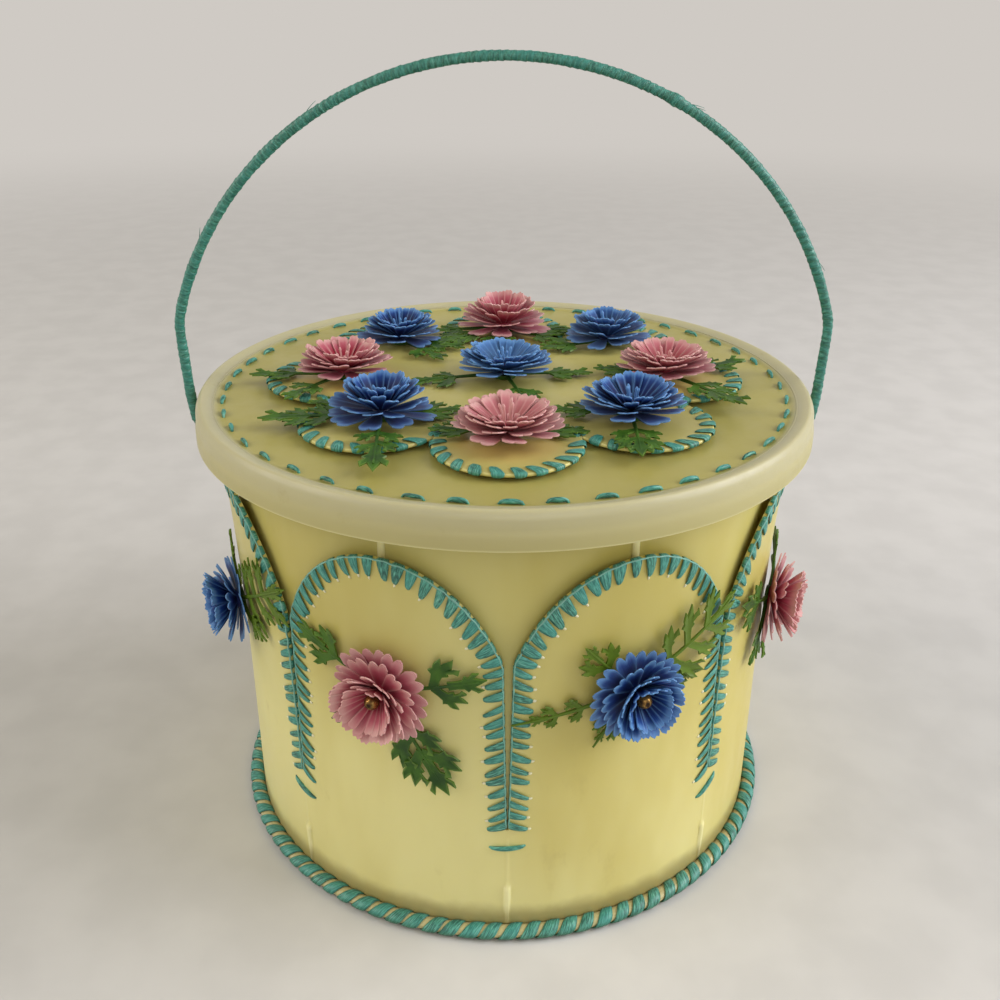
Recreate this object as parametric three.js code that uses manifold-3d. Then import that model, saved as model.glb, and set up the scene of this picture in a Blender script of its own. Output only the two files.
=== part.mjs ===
// A lidded handicraft bucket, made from plastic pails, in millimetres, +Z up.
// The origin is on the table under the middle of the bucket, and -Y is its front.
// A whole pail stands inside an outer pail whose wall is cut into eight arched petals.
// Raffia is stitched along every cut edge, and moulded flowers sit on the wall and the lid.
import * as THREE from 'three';
import { mergeVertices } from 'three/addons/utils/BufferGeometryUtils.js';
import Module from 'manifold-3d';

const wasm = await Module();
wasm.setup();

// Clearances
const seatGap = 0.3;
const nestGap = 0.5;
const raffiaLift = 0.5;

// Turned shapes
const turnSegments = 48;
const petalCount = 8;
const turn = 2 * Math.PI;
const petalPitch = turn / petalCount;

// Outer pail and base
const wallBaseRadius = 101.4;
const wallRise = 168.3;
const wallSpread = 2;
const wallThickness = 1.2;
const footHeight = 1.5;
const footInset = 7;
const baseThickness = 1.4;
const flangeOverhang = 3;

// Small ribs that the mould leaves on the two pails
const sleeveRibLow = 7;
const sleeveRibHigh = 19.7;
const sleeveRibTopRadius = 1.5;
const sleeveRibFootRadius = 0.5;
const pailRibDrop = 23;
const pailRibLength = 22;
const pailRibWidth = 1.2;
const pailRibHeight = 0.7;

// Mouth and rim of the inner pail
const rimTopHeight = 166.4;
const mouthDepth = 11.4;
const mouthStep = 7;
const shoulderRise = 4;
const rimDepth = 2.9;
const rimOverhang = 2.7;
const shoulderHeight = rimTopHeight - mouthDepth;

// Ears and bail, which stands clear of the lid
const earDrop = 10;
const earRadius = 5;
const earProud = 2;
const wireRadius = 1.1;
const pinInset = 2.6;
const wrapBoreGap = 0.3;
const wrapRadius = 1.95;
const wrapValleyRadius = 1.75;
const bailFootStep = 1.6;
const bailFootRise = 5;
const bailLegLean = 1.6;
const bailLegRise = 17;
const bailArcSpread = 5.2;
const bailArcRise = 14.5;
const bailArcStart = THREE.MathUtils.degToRad(14);
const bailStations = 44;
const wrapSides = 6;
const wrapRibsPerStation = 1;

// Lid
const lidThickness = 1.3;
const lidSkirtGap = 1.4;
const skirtDepth = 12.9;
const skirtStepRise = 5.3;
const skirtStepDepth = 0.4;
const lidTopHeight = rimTopHeight + seatGap + lidThickness;
const skirtBottomHeight = lidTopHeight - skirtDepth;
const skirtStepHeight = skirtBottomHeight + skirtStepRise;
const panelDrop = 2.3;
const plugFillet = 0.9;
const rimInnerRound = 1.3;
const rimOuterRound = 2.4;

// Petals of the outer pail, whose tops stay under the lid
const slotBottomHeight = 44.5;
const archRise = 34.7;
const archGap = 10.4;
const archHalfTurn = THREE.MathUtils.degToRad(60);
const springHeight = skirtBottomHeight - archGap - archRise;
const slotFootHalfWidth = 0.4;
const slotTopHalfWidth = 1.4;
const petalFlare = 2.8;
const petalColumns = 8;
const petalRows = 4;

// Running stitches round the lid panel
const lidStitchCount = 45;
const lidStitchInset = 1.3;
const lidStitchHalfWidth = 1;
const lidStitchHeight = 0.9;
const lidThreadHalfWidth = 0.3;
const lidThreadHeight = 0.4;

// Scalloped panel on the lid
const lobeRadius = 24.8;
const lobeMargin = 16.8;
const lobeSteps = 10;
const panelLift = 1.4;
const panelThickness = 1.2;

// Raffia along the scallops, the petals and the base
const lobeStitches = 6;
const lobeStitchDepth = 4.5;
const lobeThreadDepth = 0.9;
const lobeBand = 1;
const lobeRaffiaHeight = 0.6;
const lobeCoverShare = 0.86;
const petalStitches = 18;
const petalStitchDepth = 6;
const petalThreadDepth = 1.8;
const petalRaffiaHeight = 0.9;
const petalTipHeight = 0.6;
const barLength = 10;
const barWidth = 1.5;
const barDrop = 7.2;
const linkWidth = 0.9;
const baseStitches = 48;
const baseRaffiaInset = 1.6;
const baseRaffiaReach = 2.7;
const baseRaffiaRise = 1.5;
const baseStitchBulge = 0.6;
const baseRaffiaDrop = 0.7;

// Flowers
const sideBloomHeight = 97;
const sideBloomRadius = 16;
const sideBloomDepth = 12;
const lidBloomRadius = 19.5;
const lidBloomDepth = 14;
const lidRingInset = 3.7;
const bloomPetals = 8;
const beadRadius = 2.2;
const beadSides = 6;
const beadRings = 4;
const leafLength = 40;
const bladeThickness = 0.6;
const collarRadius = 4;
const collarSides = 8;
const sideCollarHeight = 1.1;
const sideLeafLift = 0.9;
const lobeBladeGap = 0.3;

// A bloom's rings from its foot to its cup: shares of radius at tip and notch, and of depth
const bloomRingShares = [
  [0.25, 0.25, 0],
  [1, 0.74, 0.15],
  [0.5, 0.5, 0.4],
  [0.8, 0.5, 1],
];
const bloomCupShare = 0.5;

// Half of a leaf's outline: shares of its length along it and across it
const leafOutlineShares = [
  [0, 0.05],
  [0.3, 0.05],
  [0.52, 0.24],
  [0.66, 0.1],
  [1, 0],
];

// Leaves of the side flowers: direction in degrees from the right, and share of the leaf length
const pinkSideLeafShares = [[162, 0.85], [15, 0.825], [-62, 1.05], [-138, 0.65]];
const blueSideLeafShares = [[30, 1.05], [-166, 1.025], [130, 0.6], [-128, 0.6]];

// Lid flowers: name, angle from the front in eighths, share of the ring's radius, colour, leaves
const lidFlowerShares = [
  ['centre', 0, 0, 'blue', [[190, 0.85], [270, 0.75], [0, 0.75]]],
  ['front', 0, 1, 'pink', [[10, 0.65], [170, 0.65]]],
  ['front_right', 1, 1, 'blue', [[268, 0.85], [172, 0.675]]],
  ['right', 2, 1, 'pink', [[8, 0.825], [315, 0.875]]],
  ['back_right', 3, 1, 'blue', [[200, 0.7], [60, 0.675]]],
  ['back', 4, 1, 'pink', [[355, 0.75], [188, 0.75]]],
  ['back_left', 5, 1, 'blue', [[325, 0.75], [120, 0.675]]],
  ['left', 6, 1, 'pink', [[180, 0.825], [222, 0.7]]],
  ['front_left', 7, 1, 'blue', [[190, 0.925], [275, 0.875], [10, 0.65]]],
];

// Colours
const plastic = (color, roughness) => new THREE.MeshStandardMaterial({ color, roughness, metalness: 0 });
const pailYellow = () => plastic('#d8d28c', 0.4);
const lidCream = () => plastic('#cdc592', 0.38);
const raffiaTeal = () => plastic('#3f9e96', 0.55);
const leafGreen = () => plastic('#4d6b2a', 0.5);
const bloomColour = { pink: '#d98a98', blue: '#3d62b8' };
const bloomPlastic = (colour) => plastic(bloomColour[colour], 0.45);
const steel = () => new THREE.MeshStandardMaterial({ color: '#a8a9aa', roughness: 0.35, metalness: 1 });
const brass = () => new THREE.MeshStandardMaterial({ color: '#8a6a3a', roughness: 0.35, metalness: 0.8 });

const group = new THREE.Group();

function add(name, geometry, material, matrix) {
  const mesh = new THREE.Mesh(geometry, material);
  mesh.name = name;
  if (matrix) mesh.applyMatrix4(matrix);
  group.add(mesh);
}

// Closed bodies from lists of points and faces

function bodyFromFaces(points, faces) {
  const geometry = new THREE.BufferGeometry();
  geometry.setAttribute('position', new THREE.Float32BufferAttribute(points.flat(), 3));
  geometry.setIndex(faces.flat());
  return geometry;
}

function quad(a, b, c, d) {
  return [[a, b, c], [a, c, d]];
}

// A ring of equal sections, each a closed outline that runs the same way round
function closedSweep(sections) {
  const sides = sections[0].length;
  const faces = [];
  sections.forEach((section, i) => {
    const next = (i + 1) % sections.length;
    for (let j = 0; j < sides; j += 1) {
      const k = (j + 1) % sides;
      faces.push(...quad(i * sides + j, i * sides + k, next * sides + k, next * sides + j));
    }
  });
  return bodyFromFaces(sections.flat(), faces);
}

// A run of equal sections between two capped ends
function openSweep(sections) {
  const sides = sections[0].length;
  const last = (sections.length - 1) * sides;
  const faces = [];
  for (let i = 0; i < sections.length - 1; i += 1) {
    for (let j = 0; j < sides; j += 1) {
      const k = (j + 1) % sides;
      faces.push(...quad(i * sides + j, i * sides + k, (i + 1) * sides + k, (i + 1) * sides + j));
    }
  }
  for (let j = 1; j < sides - 1; j += 1) {
    faces.push([0, j + 1, j]);
    faces.push([last, last + j, last + j + 1]);
  }
  return bodyFromFaces(sections.flat(), faces);
}

// A thick shell: the same faces on its outer and its inner points, joined along open edges
function thickShell(outer, inner, faces) {
  const count = outer.length;
  const edges = new Map();
  faces.forEach(([a, b, c]) => {
    [[a, b], [b, c], [c, a]].forEach(([p, q]) => {
      const back = `${q} ${p}`;
      if (edges.has(back)) edges.delete(back);
      else edges.set(`${p} ${q}`, [p, q]);
    });
  });
  const walls = [...edges.values()].flatMap(([p, q]) => quad(q, p, p + count, q + count));
  const insides = faces.map(([a, b, c]) => [a + count, c + count, b + count]);
  return bodyFromFaces([...outer, ...inner], [...faces, ...insides, ...walls]);
}

function turned(profile) {
  const points = profile.map(([r, z]) => new THREE.Vector2(r, z));
  const geometry = new THREE.LatheGeometry(points, turnSegments);
  geometry.rotateX(Math.PI / 2);
  return geometry;
}

function solid(geometry) {
  const plain = geometry.clone();
  plain.deleteAttribute('normal');
  plain.deleteAttribute('uv');
  const merged = mergeVertices(plain.index ? plain : mergeVertices(plain));
  const vertProperties = Float32Array.from(merged.attributes.position.array);
  const triVerts = Uint32Array.from(merged.index.array);
  const mesh = new wasm.Mesh({ numProp: 3, vertProperties, triVerts });
  return new wasm.Manifold(mesh);
}

function geometryOf(body) {
  const mesh = body.getMesh();
  const geometry = new THREE.BufferGeometry();
  geometry.setAttribute('position', new THREE.BufferAttribute(mesh.vertProperties, 3));
  geometry.setIndex(new THREE.BufferAttribute(mesh.triVerts, 1));
  return geometry;
}

function joined(geometries) {
  return geometryOf(geometries.map(solid).reduce((whole, piece) => whole.add(piece)));
}

// Places round the bucket: angle 0 is the front, and the angle grows towards the right

function around(radius, angle, z) {
  return [radius * Math.sin(angle), -radius * Math.cos(angle), z];
}

function wallRadius(z) {
  return wallBaseRadius + wallSpread * z / wallRise;
}

const flareSpan = springHeight + archRise - slotBottomHeight;

function petalRadius(z) {
  const share = Math.max(0, z - slotBottomHeight) / flareSpan;
  return wallRadius(z) + petalFlare * share ** 3;
}

function petalSlope(z) {
  const share = Math.max(0, z - slotBottomHeight) / flareSpan;
  return wallSpread / wallRise + 3 * petalFlare * share ** 2 / flareSpan;
}

function slotHalfWidth(z) {
  const share = Math.min(1, (z - slotBottomHeight) / (springHeight - slotBottomHeight));
  return slotFootHalfWidth + (slotTopHalfWidth - slotFootHalfWidth) * Math.max(0, share);
}

// The frame of a flower: its X runs right, its Y up the wall and its Z straight out
function wallFrame(angle, z, lift) {
  const lean = Math.atan(petalSlope(z));
  const out = new THREE.Vector3(...around(Math.cos(lean), angle, -Math.sin(lean)));
  const up = new THREE.Vector3(...around(Math.sin(lean), angle, Math.cos(lean)));
  const right = new THREE.Vector3().crossVectors(up, out);
  const place = new THREE.Vector3(...around(petalRadius(z), angle, z)).addScaledVector(out, lift);
  return new THREE.Matrix4().makeBasis(right, up, out).setPosition(place);
}

// Base

const flangeRadius = wallBaseRadius + flangeOverhang;
const baseTop = footHeight + baseThickness;

function baseDisc() {
  return turned([
    [0, 0],
    [flangeRadius - footInset, 0],
    [flangeRadius - footInset, footHeight],
    [flangeRadius, footHeight],
    [flangeRadius, baseTop],
    [0, baseTop],
  ]);
}

// The raffia clasps the flange from above, outside and below
function baseRaffia() {
  const sections = [];
  for (let i = 0; i < 2 * baseStitches; i += 1) {
    const angle = turn * i / (2 * baseStitches);
    const bulge = i % 2 ? baseStitchBulge : 0;
    const inner = flangeRadius - baseRaffiaInset;
    const clear = flangeRadius + seatGap;
    const outer = flangeRadius + baseRaffiaReach + bulge;
    const low = footHeight - seatGap;
    const high = baseTop + seatGap;
    const outline = [
      [inner, high],
      [clear, high],
      [clear, low],
      [inner, low],
      [outer - baseStitchBulge, low - baseRaffiaDrop],
      [outer, high],
      [inner, high + baseRaffiaRise + bulge],
    ];
    sections.push(outline.map(([r, z]) => around(r, angle, z)));
  }
  return closedSweep(sections.reverse());
}

// Outer pail with its petals

const sleeveFloor = baseTop + seatGap;

// An arch is part of an ellipse: its turn runs from minus to plus the half turn, where it has its corners
const archDepth = archRise / (1 - Math.cos(archHalfTurn));
const archReach = (petalRadius(springHeight) * petalPitch / 2 - slotTopHalfWidth) / Math.sin(archHalfTurn);

function archHeight(bend) {
  return springHeight + archDepth * (Math.cos(bend) - Math.cos(archHalfTurn));
}

function petalTop(share) {
  return archHeight(Math.asin(share * Math.sin(archHalfTurn)));
}

function columnAngle(petal, share, z) {
  const half = petalPitch / 2 - slotHalfWidth(z) / petalRadius(z);
  return petalPitch * (petal + 0.5) + share * half;
}

function sleeveShell() {
  const outer = [];
  const inner = [];
  const faces = [];
  const columns = petalColumns + 1;
  const ringSize = petalCount * columns;
  function put(radius, angle, z, innerRadius, innerZ) {
    outer.push(around(radius, angle, z));
    inner.push(around(innerRadius, angle, innerZ));
  }
  put(0, 0, sleeveFloor, 0, sleeveFloor + wallThickness);
  for (let row = -1; row <= petalRows; row += 1) {
    for (let petal = 0; petal < petalCount; petal += 1) {
      for (let j = 0; j < columns; j += 1) {
        const share = -Math.cos(Math.PI * j / petalColumns);
        const low = slotBottomHeight;
        const z = row < 0 ? sleeveFloor : low + (petalTop(share) - low) * row / petalRows;
        const angle = columnAngle(petal, share, Math.max(low, z));
        const lift = row < 0 ? wallThickness : 0;
        put(petalRadius(z), angle, z, petalRadius(z) - wallThickness, z + lift);
      }
    }
  }
  const at = (row, index) => 1 + (row + 1) * ringSize + index % ringSize;
  for (let i = 0; i < ringSize; i += 1) {
    faces.push([0, at(-1, i + 1), at(-1, i)]);
    faces.push(...quad(at(-1, i), at(-1, i + 1), at(0, i + 1), at(0, i)));
    if (i % columns === petalColumns) continue;
    for (let row = 0; row < petalRows; row += 1) {
      faces.push(...quad(at(row, i), at(row, i + 1), at(row + 1, i + 1), at(row + 1, i)));
    }
  }
  return thickShell(outer, inner, faces);
}

function sleeveRib(index) {
  const length = sleeveRibHigh - sleeveRibLow;
  const rib = new THREE.CylinderGeometry(sleeveRibTopRadius, sleeveRibFootRadius, length, wrapSides);
  rib.rotateX(Math.PI / 2);
  const z = (sleeveRibHigh + sleeveRibLow) / 2;
  rib.translate(...around(wallRadius(z), petalPitch * index, z));
  return rib;
}

function petalSleeve() {
  const ribs = Array.from({ length: petalCount }, (_, i) => sleeveRib(i));
  return joined([sleeveShell(), ...ribs]);
}

// Inner pail

const pailFloor = sleeveFloor + wallThickness + seatGap;

function pailRadius(z) {
  return wallRadius(z) - wallThickness - nestGap;
}

const mouthRadius = pailRadius(shoulderHeight) + mouthStep;
const mouthInner = mouthRadius - wallThickness;
const pailRibLow = shoulderHeight - pailRibDrop;

function pailShell() {
  const rimOuter = mouthRadius + rimOverhang;
  return turned([
    [0, pailFloor],
    [pailRadius(pailFloor), pailFloor],
    [pailRadius(shoulderHeight), shoulderHeight],
    [mouthRadius, shoulderHeight + shoulderRise],
    [mouthRadius, rimTopHeight - rimDepth],
    [rimOuter, rimTopHeight - rimDepth],
    [rimOuter, rimTopHeight - wallThickness],
    [rimOuter - wallThickness, rimTopHeight],
    [mouthInner, rimTopHeight],
    [mouthInner, shoulderHeight + shoulderRise],
    [pailRadius(shoulderHeight) - wallThickness, shoulderHeight],
    [pailRadius(pailFloor) - wallThickness, pailFloor + wallThickness],
    [0, pailFloor + wallThickness],
  ]);
}

function pailRib(index) {
  const rib = new THREE.BoxGeometry(pailRibWidth, 2 * pailRibHeight, pailRibLength);
  const angle = petalPitch * (index + 0.5);
  const z = pailRibLow + pailRibLength / 2;
  rib.rotateZ(angle);
  rib.translate(...around(pailRadius(z), angle, z));
  return rib;
}

const lidRadius = mouthRadius + rimOverhang + lidSkirtGap + lidThickness;
const earHeight = shoulderHeight - earDrop;
const earReach = lidRadius + earProud;

// An ear is a boss with a blind bore for the end of the bail
function ear(side) {
  const root = pailRadius(earHeight) - wallThickness / 2;
  const boss = new THREE.CylinderGeometry(earRadius, earRadius, earReach - root, 2 * wrapSides);
  boss.rotateZ(Math.PI / 2);
  boss.translate(side * (earReach + root) / 2, 0, earHeight);
  return boss;
}

function earBore(side) {
  const depth = pinInset + seatGap;
  const boreRadius = wireRadius + seatGap;
  const bore = new THREE.CylinderGeometry(boreRadius, boreRadius, 2 * depth, 2 * wrapSides);
  bore.rotateZ(Math.PI / 2);
  bore.translate(side * earReach, 0, earHeight);
  return bore;
}

function innerPail() {
  const ribs = Array.from({ length: petalCount }, (_, i) => pailRib(i));
  const whole = joined([pailShell(), ...ribs, ear(-1), ear(1)]);
  return geometryOf(solid(whole).subtract(solid(earBore(-1))).subtract(solid(earBore(1))));
}

// Lid

const plugRadius = mouthInner - seatGap;
const plugInner = plugRadius - lidThickness;
const lidPanelTop = lidTopHeight - panelDrop;

function lidShell() {
  const ceiling = rimTopHeight + seatGap;
  const upperRadius = lidRadius - skirtStepDepth;
  const stepTop = skirtStepHeight + skirtStepDepth;
  return turned([
    [0, lidPanelTop],
    [plugInner - plugFillet, lidPanelTop],
    [plugInner, lidPanelTop + plugFillet],
    [plugInner, lidTopHeight - rimInnerRound],
    [plugInner + rimInnerRound, lidTopHeight],
    [upperRadius - rimOuterRound, lidTopHeight],
    [upperRadius, lidTopHeight - rimOuterRound],
    [upperRadius, stepTop],
    [lidRadius, skirtStepHeight],
    [lidRadius, skirtBottomHeight],
    [lidRadius - lidThickness, skirtBottomHeight],
    [lidRadius - lidThickness, ceiling],
    [plugRadius, ceiling],
    [plugRadius, lidPanelTop - lidThickness],
    [0, lidPanelTop - lidThickness],
  ].reverse());
}

function lidStitches() {
  const middle = plugInner - plugFillet - lidStitchInset;
  const low = lidPanelTop + seatGap;
  const sections = [];
  for (let i = 0; i < 2 * lidStitchCount; i += 1) {
    const angle = turn * i / (2 * lidStitchCount);
    const half = i % 2 ? lidThreadHalfWidth : lidStitchHalfWidth;
    const high = low + (i % 2 ? lidThreadHeight : lidStitchHeight);
    const outline = [
      [middle - half, low],
      [middle + half, low],
      [middle + half / 2, high],
      [middle - half / 2, high],
    ];
    sections.push(outline.map(([r, z]) => around(r, angle, z)));
  }
  return closedSweep(sections.reverse());
}

// Scalloped panel

const lobeReach = plugInner - lobeMargin - lobeRadius;
const lobeHalfAngle = (() => {
  const across = lobeReach * Math.sin(petalPitch / 2);
  return Math.PI / 2 + petalPitch / 2 - Math.acos(Math.min(1, across / lobeRadius));
})();

const panelLow = lidPanelTop + panelLift;
const panelHigh = panelLow + panelThickness;

// A point of a lobe's edge: share runs from -1 to 1 along it, and offset outwards
function lobePoint(lobe, share, offset) {
  const centre = around(lobeReach, petalPitch * lobe, 0);
  const angle = petalPitch * lobe + share * lobeHalfAngle;
  const edge = around(lobeRadius + offset, angle, 0);
  return [centre[0] + edge[0], centre[1] + edge[1]];
}

function scallopPanel() {
  const outline = [];
  for (let lobe = 0; lobe < petalCount; lobe += 1) {
    for (let i = 0; i < lobeSteps; i += 1) {
      const [x, y] = lobePoint(lobe, 2 * i / lobeSteps - 1, 0);
      outline.push(new THREE.Vector2(x, y));
    }
  }
  const shape = new THREE.Shape(outline);
  const plate = new THREE.ExtrudeGeometry(shape, { depth: panelThickness, bevelEnabled: false });
  plate.translate(0, 0, panelLow);
  return plate;
}

// The raffia stands round the edge and reaches in over the panel in pointed stitches
function scallopRaffia() {
  const low = lidPanelTop + seatGap;
  const bottom = panelHigh + seatGap;
  const top = bottom + lobeRaffiaHeight;
  const sections = [];
  for (let lobe = 0; lobe < petalCount; lobe += 1) {
    for (let i = 0; i <= 2 * lobeStitches; i += 1) {
      const share = lobeCoverShare * (i / lobeStitches - 1);
      const depth = i % 2 ? lobeStitchDepth : lobeThreadDepth;
      const outline = [
        [seatGap, low],
        [seatGap + lobeBand, low],
        [seatGap + lobeBand, top],
        [-depth, top],
        [-depth, bottom],
        [seatGap, bottom],
      ];
      sections.push(outline.map(([offset, z]) => [...lobePoint(lobe, share, offset), z]));
    }
  }
  return closedSweep(sections.reverse());
}

// Raffia round a petal: the edge runs up one slot, over the arch and down the next slot

const slotRun = springHeight - slotBottomHeight;
const archRun = 2 * archHalfTurn * Math.hypot(archReach, archDepth) / Math.SQRT2;
const edgeRun = 2 * slotRun + archRun;

// The edge point at a run along it, as the share across the petal, the height and the inward turn
function edgeAt(run) {
  if (run < slotRun) return [-1, slotBottomHeight + run, 0];
  if (run > slotRun + archRun) return [1, slotBottomHeight + edgeRun - run, Math.PI];
  const bend = archHalfTurn * (2 * (run - slotRun) / archRun - 1);
  const inward = Math.atan2(archReach * Math.cos(bend), -archDepth * Math.sin(bend));
  return [Math.sin(bend) / Math.sin(archHalfTurn), archHeight(bend), inward];
}

function petalRaffiaEdge(petal) {
  const sections = [];
  for (let i = 0; i <= 2 * petalStitches; i += 1) {
    const [share, z, facing] = edgeAt(edgeRun * i / (2 * petalStitches));
    const depth = i % 2 ? petalStitchDepth : petalThreadDepth;
    const outline = [
      [0, raffiaLift],
      [depth, raffiaLift],
      [depth, raffiaLift + petalTipHeight],
      [0, raffiaLift + petalRaffiaHeight],
    ];
    sections.push(outline.map(([inward, lift]) => {
      const pointZ = z - inward * Math.sin(facing);
      const radius = petalRadius(pointZ);
      const angle = columnAngle(petal, share, z) + inward * Math.cos(facing) / radius;
      return around(radius + lift, angle, pointZ);
    }));
  }
  return openSweep(sections.reverse());
}

const barHeight = slotBottomHeight - barDrop;

// The single stitch below the slot, with the thread that leads down to it
function barStitch(petal) {
  const angle = petalPitch * (petal + 1);
  const radius = wallRadius(barHeight) + raffiaLift + petalTipHeight / 2;
  const bar = new THREE.BoxGeometry(barLength, petalTipHeight, barWidth);
  const linkTop = slotBottomHeight + petalThreadDepth;
  const link = new THREE.BoxGeometry(linkWidth, petalTipHeight, linkTop - barHeight);
  const side = slotFootHalfWidth + petalThreadDepth / 2;
  bar.translate(0, 0, barHeight);
  link.translate(-side, 0, (linkTop + barHeight) / 2);
  const place = new THREE.Matrix4().makeRotationZ(angle).setPosition(...around(radius, angle, 0));
  return [bar.applyMatrix4(place), link.applyMatrix4(place)];
}

function petalRaffia(petal) {
  return joined([petalRaffiaEdge(petal), ...barStitch(petal)]);
}

// Bail: wire ends in the ears, legs that lean outwards, and a round arch over the lid

const bailFootReach = earReach + bailFootStep;
const bailLegReach = bailFootReach + bailLegLean;
const bailLegHeight = earHeight + bailLegRise;
const bailArcRadius = bailLegReach + bailArcSpread;
const bailArcHeight = earHeight + bailArcRise;

function bailPath() {
  const points = [];
  const pinEnd = earReach - pinInset;
  const left = [
    [pinEnd, earHeight],
    [earReach, earHeight],
    [bailFootReach, earHeight + wireRadius],
    [bailFootReach, earHeight + bailFootRise],
    [bailLegReach, bailLegHeight],
  ];
  const arcSteps = bailStations - 2 * left.length;
  left.forEach(([x, z]) => points.push([-x, z]));
  for (let i = 0; i <= arcSteps; i += 1) {
    const angle = Math.PI - bailArcStart - (Math.PI - 2 * bailArcStart) * i / arcSteps;
    const height = bailArcHeight + bailArcRadius * Math.sin(angle);
    points.push([bailArcRadius * Math.cos(angle), height]);
  }
  left.reverse().forEach(([x, z]) => points.push([x, z]));
  return points.map(([x, z]) => new THREE.Vector3(x, 0, z));
}

const bailPoints = bailPath();
const wrapFirst = 3;
const wrapLast = bailPoints.length - 1 - wrapFirst;

// Round sections square to the mean direction of the two runs that meet at each point
function tubeSections(points, radii) {
  return points.map((point, i) => {
    const before = points[Math.max(0, i - 1)];
    const after = points[Math.min(points.length - 1, i + 1)];
    const along = new THREE.Vector3().subVectors(after, before).normalize();
    const across = new THREE.Vector3(-along.z, 0, along.x);
    return Array.from({ length: wrapSides }, (_, k) => {
      const angle = -turn * k / wrapSides;
      const place = point.clone().addScaledVector(across, radii[i] * Math.cos(angle));
      place.y += radii[i] * Math.sin(angle);
      return place.toArray();
    });
  });
}

function bailWire() {
  return openSweep(tubeSections(bailPoints, bailPoints.map(() => wireRadius)));
}

// The wrap is a hollow sleeve, ribbed outside where the raffia turns lie side by side
function bailWrap() {
  const bored = bailPoints.slice(wrapFirst, wrapLast + 1);
  const ribbed = [];
  bored.forEach((point, i) => {
    ribbed.push(point);
    if (i + 1 === bored.length) return;
    for (let k = 1; k < 2 * wrapRibsPerStation; k += 1) {
      ribbed.push(point.clone().lerp(bored[i + 1], k / (2 * wrapRibsPerStation)));
    }
  });
  const outerRadii = ribbed.map((_, i) => (i % 2 ? wrapRadius : wrapValleyRadius));
  const boreRadii = bored.map(() => wireRadius + wrapBoreGap);
  const outer = tubeSections(ribbed, outerRadii);
  const bore = tubeSections(bored, boreRadii);
  const loop = [...outer, ...bore.reverse()];
  return closedSweep(loop);
}

// Flowers, each made lying flat with its foot at zero

function bloom(radius, depth) {
  const columns = 2 * bloomPetals;
  const points = [[0, 0, 0]];
  const faces = [];
  bloomRingShares.forEach(([tip, notch, high], ring) => {
    for (let i = 0; i < columns; i += 1) {
      const angle = turn * i / columns;
      const isTip = (i + Math.floor(ring / 2)) % 2;
      const reach = radius * (isTip ? tip : notch);
      points.push([reach * Math.cos(angle), reach * Math.sin(angle), depth * high]);
    }
  });
  points.push([0, 0, depth * bloomCupShare]);
  const rings = bloomRingShares.length;
  const at = (ring, i) => 1 + ring * columns + i % columns;
  for (let i = 0; i < columns; i += 1) {
    faces.push([0, at(0, i + 1), at(0, i)]);
    faces.push([points.length - 1, at(rings - 1, i), at(rings - 1, i + 1)]);
    for (let ring = 0; ring < rings - 1; ring += 1) {
      faces.push(...quad(at(ring, i), at(ring, i + 1), at(ring + 1, i + 1), at(ring + 1, i)));
    }
  }
  return bodyFromFaces(points, faces);
}

function leafBlade([degrees, share], low) {
  const length = share * leafLength;
  const half = leafOutlineShares.map(([along, across]) => [along * length, across * length]);
  const back = half.slice(0, -1).reverse().map(([x, y]) => [x, -y]);
  const outline = [...half, ...back].map(([x, y]) => new THREE.Vector2(x, y));
  const shape = new THREE.Shape(outline);
  const blade = new THREE.ExtrudeGeometry(shape, { depth: bladeThickness, bevelEnabled: false });
  blade.translate(0, 0, low);
  blade.rotateZ(THREE.MathUtils.degToRad(degrees));
  return blade;
}

// A moulded spray: a collar under the bloom and its leaves, level with the collar's top
function leafSpray(leaves, collarHeight) {
  const collar = new THREE.CylinderGeometry(collarRadius, collarRadius, collarHeight, collarSides);
  collar.rotateX(Math.PI / 2);
  collar.translate(0, 0, collarHeight / 2);
  const low = collarHeight - bladeThickness;
  return joined([collar, ...leaves.map((leaf) => leafBlade(leaf, low))]);
}

// How high over the cup's point a bead of this radius rests on the cup's steepest wall
function beadRest(radius, depth) {
  const notch = bloomRingShares.at(-1)[1];
  const steepness = depth * (1 - bloomCupShare) / (radius * notch);
  return beadRadius * Math.hypot(1, steepness);
}

function addSideFlower(index) {
  const angle = petalPitch * (index + 0.5);
  const isBlue = index % 2 === 0;
  const colour = isBlue ? 'blue' : 'pink';
  const leaves = isBlue ? blueSideLeafShares : pinkSideLeafShares;
  const name = `side_${index + 1}_${colour}`;
  const bloomLift = sideLeafLift + sideCollarHeight + seatGap;
  const cupLift = bloomLift + sideBloomDepth * bloomCupShare;
  const beadLift = cupLift + beadRest(sideBloomRadius, sideBloomDepth) + seatGap;
  const leafFrame = wallFrame(angle, sideBloomHeight, sideLeafLift);
  const bloomFrame = wallFrame(angle, sideBloomHeight, bloomLift);
  const bead = new THREE.SphereGeometry(beadRadius, beadSides, beadRings);
  add(`${name}_leaves`, leafSpray(leaves, sideCollarHeight), leafGreen(), leafFrame);
  add(`${name}_bloom`, bloom(sideBloomRadius, sideBloomDepth), bloomPlastic(colour), bloomFrame);
  add(`${name}_bead`, bead, brass(), wallFrame(angle, sideBloomHeight, beadLift));
}

// The lid's leaves pass over the raffia of the scallops
const lidCollarHeight = lobeRaffiaHeight + lobeBladeGap + bladeThickness;
const lidRingRadius = lobeReach - lidRingInset;

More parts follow.
